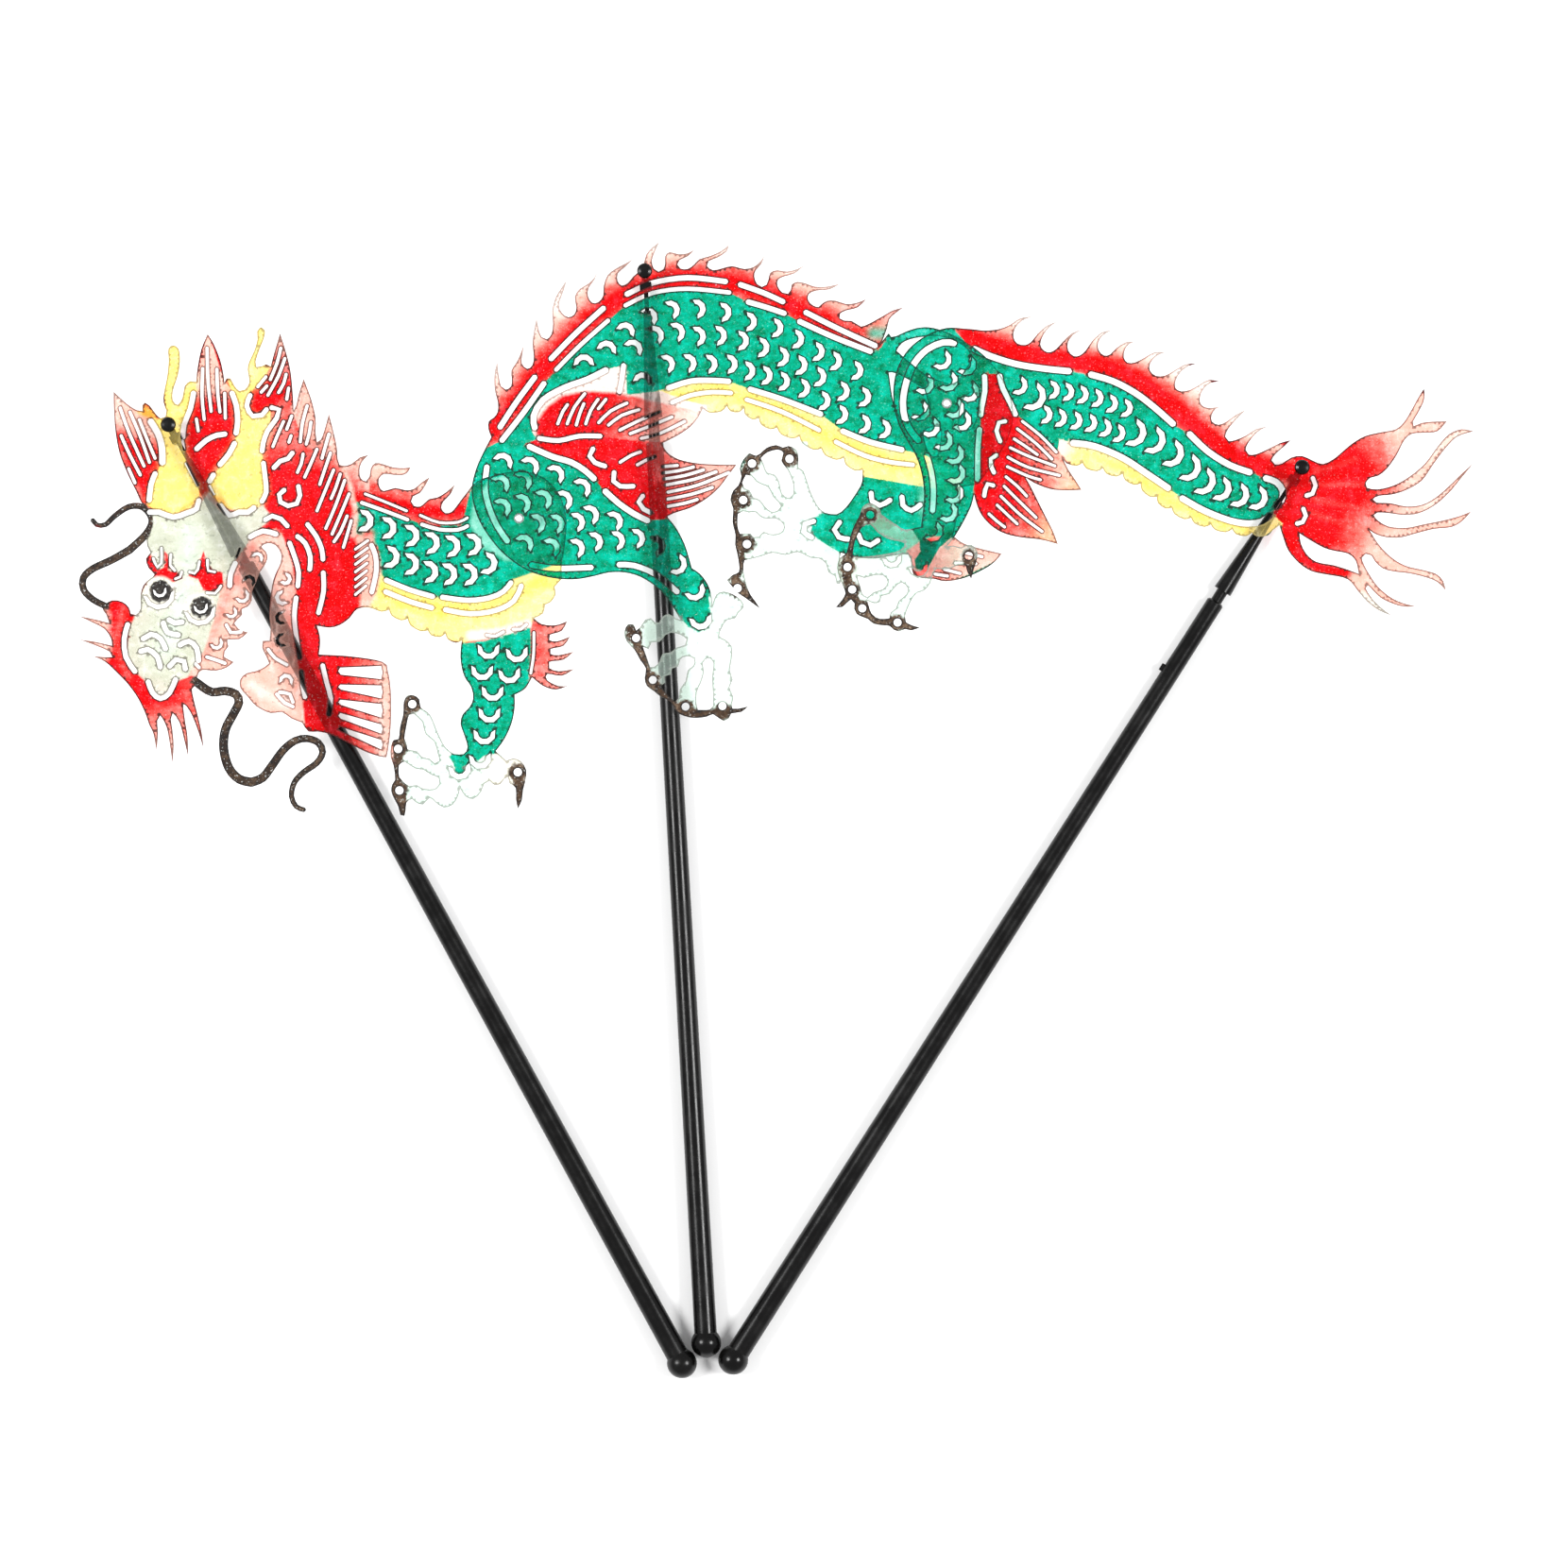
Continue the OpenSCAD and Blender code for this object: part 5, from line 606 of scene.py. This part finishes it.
def film_material():
    """Clear film with translucent dye: mottled washes, a dark line along each cut, streaky hazy patches that
    are partly real haze and partly a painted sheen, and a satin face.
    """
    m, nodes, links = new_material("painted_film")
    paint = nodes.new("ShaderNodeAttribute")
    paint.attribute_name = "paint"
    cut = nodes.new("ShaderNodeAttribute")
    cut.attribute_name = "cut"

    def math_node(how, a, b):
        node = nodes.new("ShaderNodeMath")
        node.operation = how
        node.use_clamp = True
        for socket, given in zip(node.inputs, (a, b)):
            if isinstance(given, (int, float)):
                socket.default_value = given
            else:
                links.new(given, socket)
        return node.outputs[0]

    def power(colour, exponent):
        node = nodes.new("ShaderNodeGamma")
        node.inputs["Gamma"].default_value = exponent
        links.new(colour, node.inputs["Color"])
        return node.outputs[0]

    wash = noise(nodes, links, 260, 5.0, (1, 1.4, 1), 0.75)
    streak_and_sheen = noise(nodes, links, 420, 3.0, (1, 0.35, 1), 0.6)
    fleck = noise(nodes, links, 620, 1.0)
    grain = noise(nodes, links, 1700, 2.0)
    tone = nodes.new("ShaderNodeRGBToBW")
    links.new(paint.outputs["Color"], tone.inputs["Color"])
    pooled = math_node("MULTIPLY", spread(nodes, links, wash, 0.5, 0.64, 0.0, 0.95),
                       spread(nodes, links, tone.outputs[0], 0.3, 0.7, 1.0, 0.25))
    colour = blend_colour(nodes, links, "MULTIPLY", pooled, paint.outputs["Color"],
                          power(paint.outputs["Color"], 0.6))
    cloud = noise(nodes, links, 55, 2.0)
    thin_wash = math_node("ADD", spread(nodes, links, wash, 0.49, 0.38, 0.0, 0.7),
                          spread(nodes, links, streak_and_sheen, 0.55, 0.66, 0.0, 0.5))
    thin = math_node("ADD", spread(nodes, links, cloud, 0.45, 0.7, 0.0, 0.3), thin_wash)
    colour = blend_colour(nodes, links, "MIX", thin, colour, power(colour, 0.6))
    colour = blend_colour(nodes, links, "MULTIPLY", spread(nodes, links, fleck, 0.66, 0.74, 0.0, 0.4),
                          colour, (0.4, 0.42, 0.4, 1))
    colour = blend_colour(nodes, links, "MIX", spread(nodes, links, grain, 0.62, 0.7, 0.0, 0.55),
                          colour, (0.85, 0.9, 0.88, 1))
    line = math_node("MULTIPLY", spread(nodes, links, cut.outputs["Fac"], 0.96, 0.62),
                     spread(nodes, links, tone.outputs[0], 0.35, 0.85, 0.97, 0.55))
    shade = blend_colour(nodes, links, "MULTIPLY", 1.0, power(colour, 1.1), (0.13, 0.1, 0.08, 1))
    colour = blend_colour(nodes, links, "MIX", line, colour, shade)

    bump = nodes.new("ShaderNodeBump")
    bump.inputs["Strength"].default_value = 0.25
    bump.inputs["Distance"].default_value = 0.0002
    links.new(wash, bump.inputs["Height"])

    face = nodes.new("ShaderNodeBsdfPrincipled")
    face.inputs["IOR"].default_value = 1.45
    links.new(colour, face.inputs["Base Color"])
    links.new(spread(nodes, links, grain, 0.3, 0.7, 0.3, 0.46), face.inputs["Roughness"])
    links.new(bump.outputs["Normal"], face.inputs["Normal"])

    # what is seen through the sheet crosses two faces
    through = nodes.new("ShaderNodeBsdfTransparent")
    links.new(power(colour, FACE_TINT), through.inputs["Color"])

    cover = math_node("ADD", paint.outputs["Alpha"], math_node("MULTIPLY", line, 0.45))
    # streaky patches where the film scatters more light: partly real haze, partly a painted sheen that
    # stands in for glare on the film
    cover = math_node("ADD", cover, spread(nodes, links, streak_and_sheen, 0.55, 0.7, 0.0, 0.1))
    film = nodes.new("ShaderNodeMixShader")
    links.new(cover, film.inputs[0])
    links.new(through.outputs[0], film.inputs[1])
    links.new(face.outputs[0], film.inputs[2])

    # thin dye throws only a faint shadow, so most of the light goes through to what lies under the film
    rays = nodes.new("ShaderNodeLightPath")
    passing = math_node("MAXIMUM", rays.outputs["Is Shadow Ray"], rays.outputs["Is Diffuse Ray"])
    clear = nodes.new("ShaderNodeBsdfTransparent")
    mix = nodes.new("ShaderNodeMixShader")
    links.new(math_node("MULTIPLY", passing, LIGHT_PASSED), mix.inputs[0])
    links.new(film.outputs[0], mix.inputs[1])
    links.new(clear.outputs[0], mix.inputs[2])
    out = nodes.new("ShaderNodeOutputMaterial")
    links.new(mix.outputs[0], out.inputs["Surface"])
    return m


def black_material():
    """Moulded black plastic: fairly glossy, with fine orange peel and faint rub marks."""
    m, nodes, links = new_material("black_plastic")
    fine = noise(nodes, links, 900, 3.0)
    rub = noise(nodes, links, 120, 5.0, (1, 1, 1), 0.7)
    face = nodes.new("ShaderNodeBsdfPrincipled")
    face.inputs["IOR"].default_value = 1.5
    face.inputs["Specular IOR Level"].default_value = 0.22
    links.new(blend_colour(nodes, links, "MIX", spread(nodes, links, rub, 0.4, 0.75),
              (0.0015, 0.0014, 0.0014, 1), (0.004, 0.0038, 0.0037, 1)), face.inputs["Base Color"])
    links.new(spread(nodes, links, rub, 0.3, 0.75, 0.17, 0.34), face.inputs["Roughness"])
    bump = nodes.new("ShaderNodeBump")
    bump.inputs["Strength"].default_value = 0.12
    bump.inputs["Distance"].default_value = 0.0001
    links.new(fine, bump.inputs["Height"])
    links.new(bump.outputs["Normal"], face.inputs["Normal"])
    out = nodes.new("ShaderNodeOutputMaterial")
    links.new(face.outputs[0], out.inputs["Surface"])
    return m


def rivet_material():
    """Clear moulded plastic with a little haze."""
    m, nodes, links = new_material("clear_rivet")
    haze = noise(nodes, links, 700, 3.0)
    face = nodes.new("ShaderNodeBsdfPrincipled")
    face.inputs["IOR"].default_value = 1.46
    face.inputs["Transmission Weight"].default_value = 0.85
    links.new(blend_colour(nodes, links, "MIX", haze, (0.86, 0.9, 0.9, 1), (0.95, 0.97, 0.97, 1)),
              face.inputs["Base Color"])
    links.new(spread(nodes, links, haze, 0.3, 0.7, 0.06, 0.2), face.inputs["Roughness"])
    out = nodes.new("ShaderNodeOutputMaterial")
    links.new(face.outputs[0], out.inputs["Surface"])
    return m


def floor_material():
    """Plain matt floor, a little uneven in tone."""
    m, nodes, links = new_material("pale_floor")
    face = nodes.new("ShaderNodeBsdfPrincipled")
    face.inputs["Roughness"].default_value = 0.9
    face.inputs["Specular IOR Level"].default_value = 0.1
    tone = noise(nodes, links, 3, 1.0)
    links.new(blend_colour(nodes, links, "MIX", tone, (0.9, 0.9, 0.9, 1), (0.93, 0.93, 0.93, 1)),
              face.inputs["Base Color"])
    out = nodes.new("ShaderNodeOutputMaterial")
    links.new(face.outputs[0], out.inputs["Surface"])
    return m


# ---- pieces ----
FILM, BLACK, CLEAR = film_material(), black_material(), rivet_material()

for body, node, slot_name, paint, base in (
        ("front", "front_sheet", "front_film", paint_front, RED),
        ("middle", "middle_sheet", "middle_film", paint_middle, GREEN),
        ("rear", "rear_sheet", "rear_film", paint_rear, GREEN)):
    piece = bpy.data.objects.new(node.replace("_sheet", "_film"),
                                 sheet_mesh(node + "_film", node, paint, base))
    bpy.context.scene.collection.objects.link(piece)
    piece.data.materials.append(FILM)
    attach(piece, body)
    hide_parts(node)

for name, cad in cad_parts.items():
    if not name.endswith("_sheet"):
        for place in cad.material_slots:
            place.material = CLEAR if "pivot" in name else BLACK

# ---- floor, light and camera ----
SPAN = 0.498                        # width of the view at the height of the sheets
CENTRE = (0.00255, 0.00885)
SHEET_HEIGHT = 0.0075
CAMERA_HEIGHT = 3.0                 # above the sheets
SENSOR = 36                         # mm
FLOOR_REACH = 4
FLOOR_DROP = 0.0002                 # the floor lies this far under the part
WORLD_LIGHT = 0.6

floor_mesh = bpy.data.meshes.new("floor")
floor_corners = [(x * FLOOR_REACH, y * FLOOR_REACH, 0) for x, y in ((-1, -1), (1, -1), (1, 1), (-1, 1))]
floor_mesh.from_pydata(floor_corners, [], [(0, 1, 2, 3)])
floor = bpy.data.objects.new("floor", floor_mesh)
floor.location.z = -FLOOR_DROP
floor.data.materials.append(floor_material())
bpy.context.scene.collection.objects.link(floor)

world = bpy.data.worlds.new("studio")
world.use_nodes = True
background = world.node_tree.nodes["Background"]
background.inputs["Color"].default_value = (1, 1, 1, 1)
background.inputs["Strength"].default_value = WORLD_LIGHT
bpy.context.scene.world = world


def soft_light(name, place, size=0.75, power=43):
    """A round softbox at a place, aimed at the middle of the part."""
    lamp = bpy.data.lights.new(name, "AREA")
    lamp.shape = "DISK"
    lamp.size = size
    lamp.energy = power
    o = bpy.data.objects.new(name, lamp)
    o.location = place
    o.rotation_euler = (-Vector(place)).to_track_quat("-Z", "Y").to_euler()
    bpy.context.scene.collection.objects.link(o)


soft_light("left_softbox", (-1.5, 0.15, 1.8))
soft_light("right_softbox", (1.5, 0.0, 1.8))

lens = bpy.data.cameras.new("camera")
lens.type = "PERSP"
lens.sensor_width = SENSOR
lens.lens = SENSOR * CAMERA_HEIGHT / SPAN
camera = bpy.data.objects.new("camera", lens)
camera.location = (*CENTRE, CAMERA_HEIGHT + SHEET_HEIGHT)
bpy.context.scene.collection.objects.link(camera)
bpy.context.scene.camera = camera
bpy.context.scene.view_settings.view_transform = "Standard"
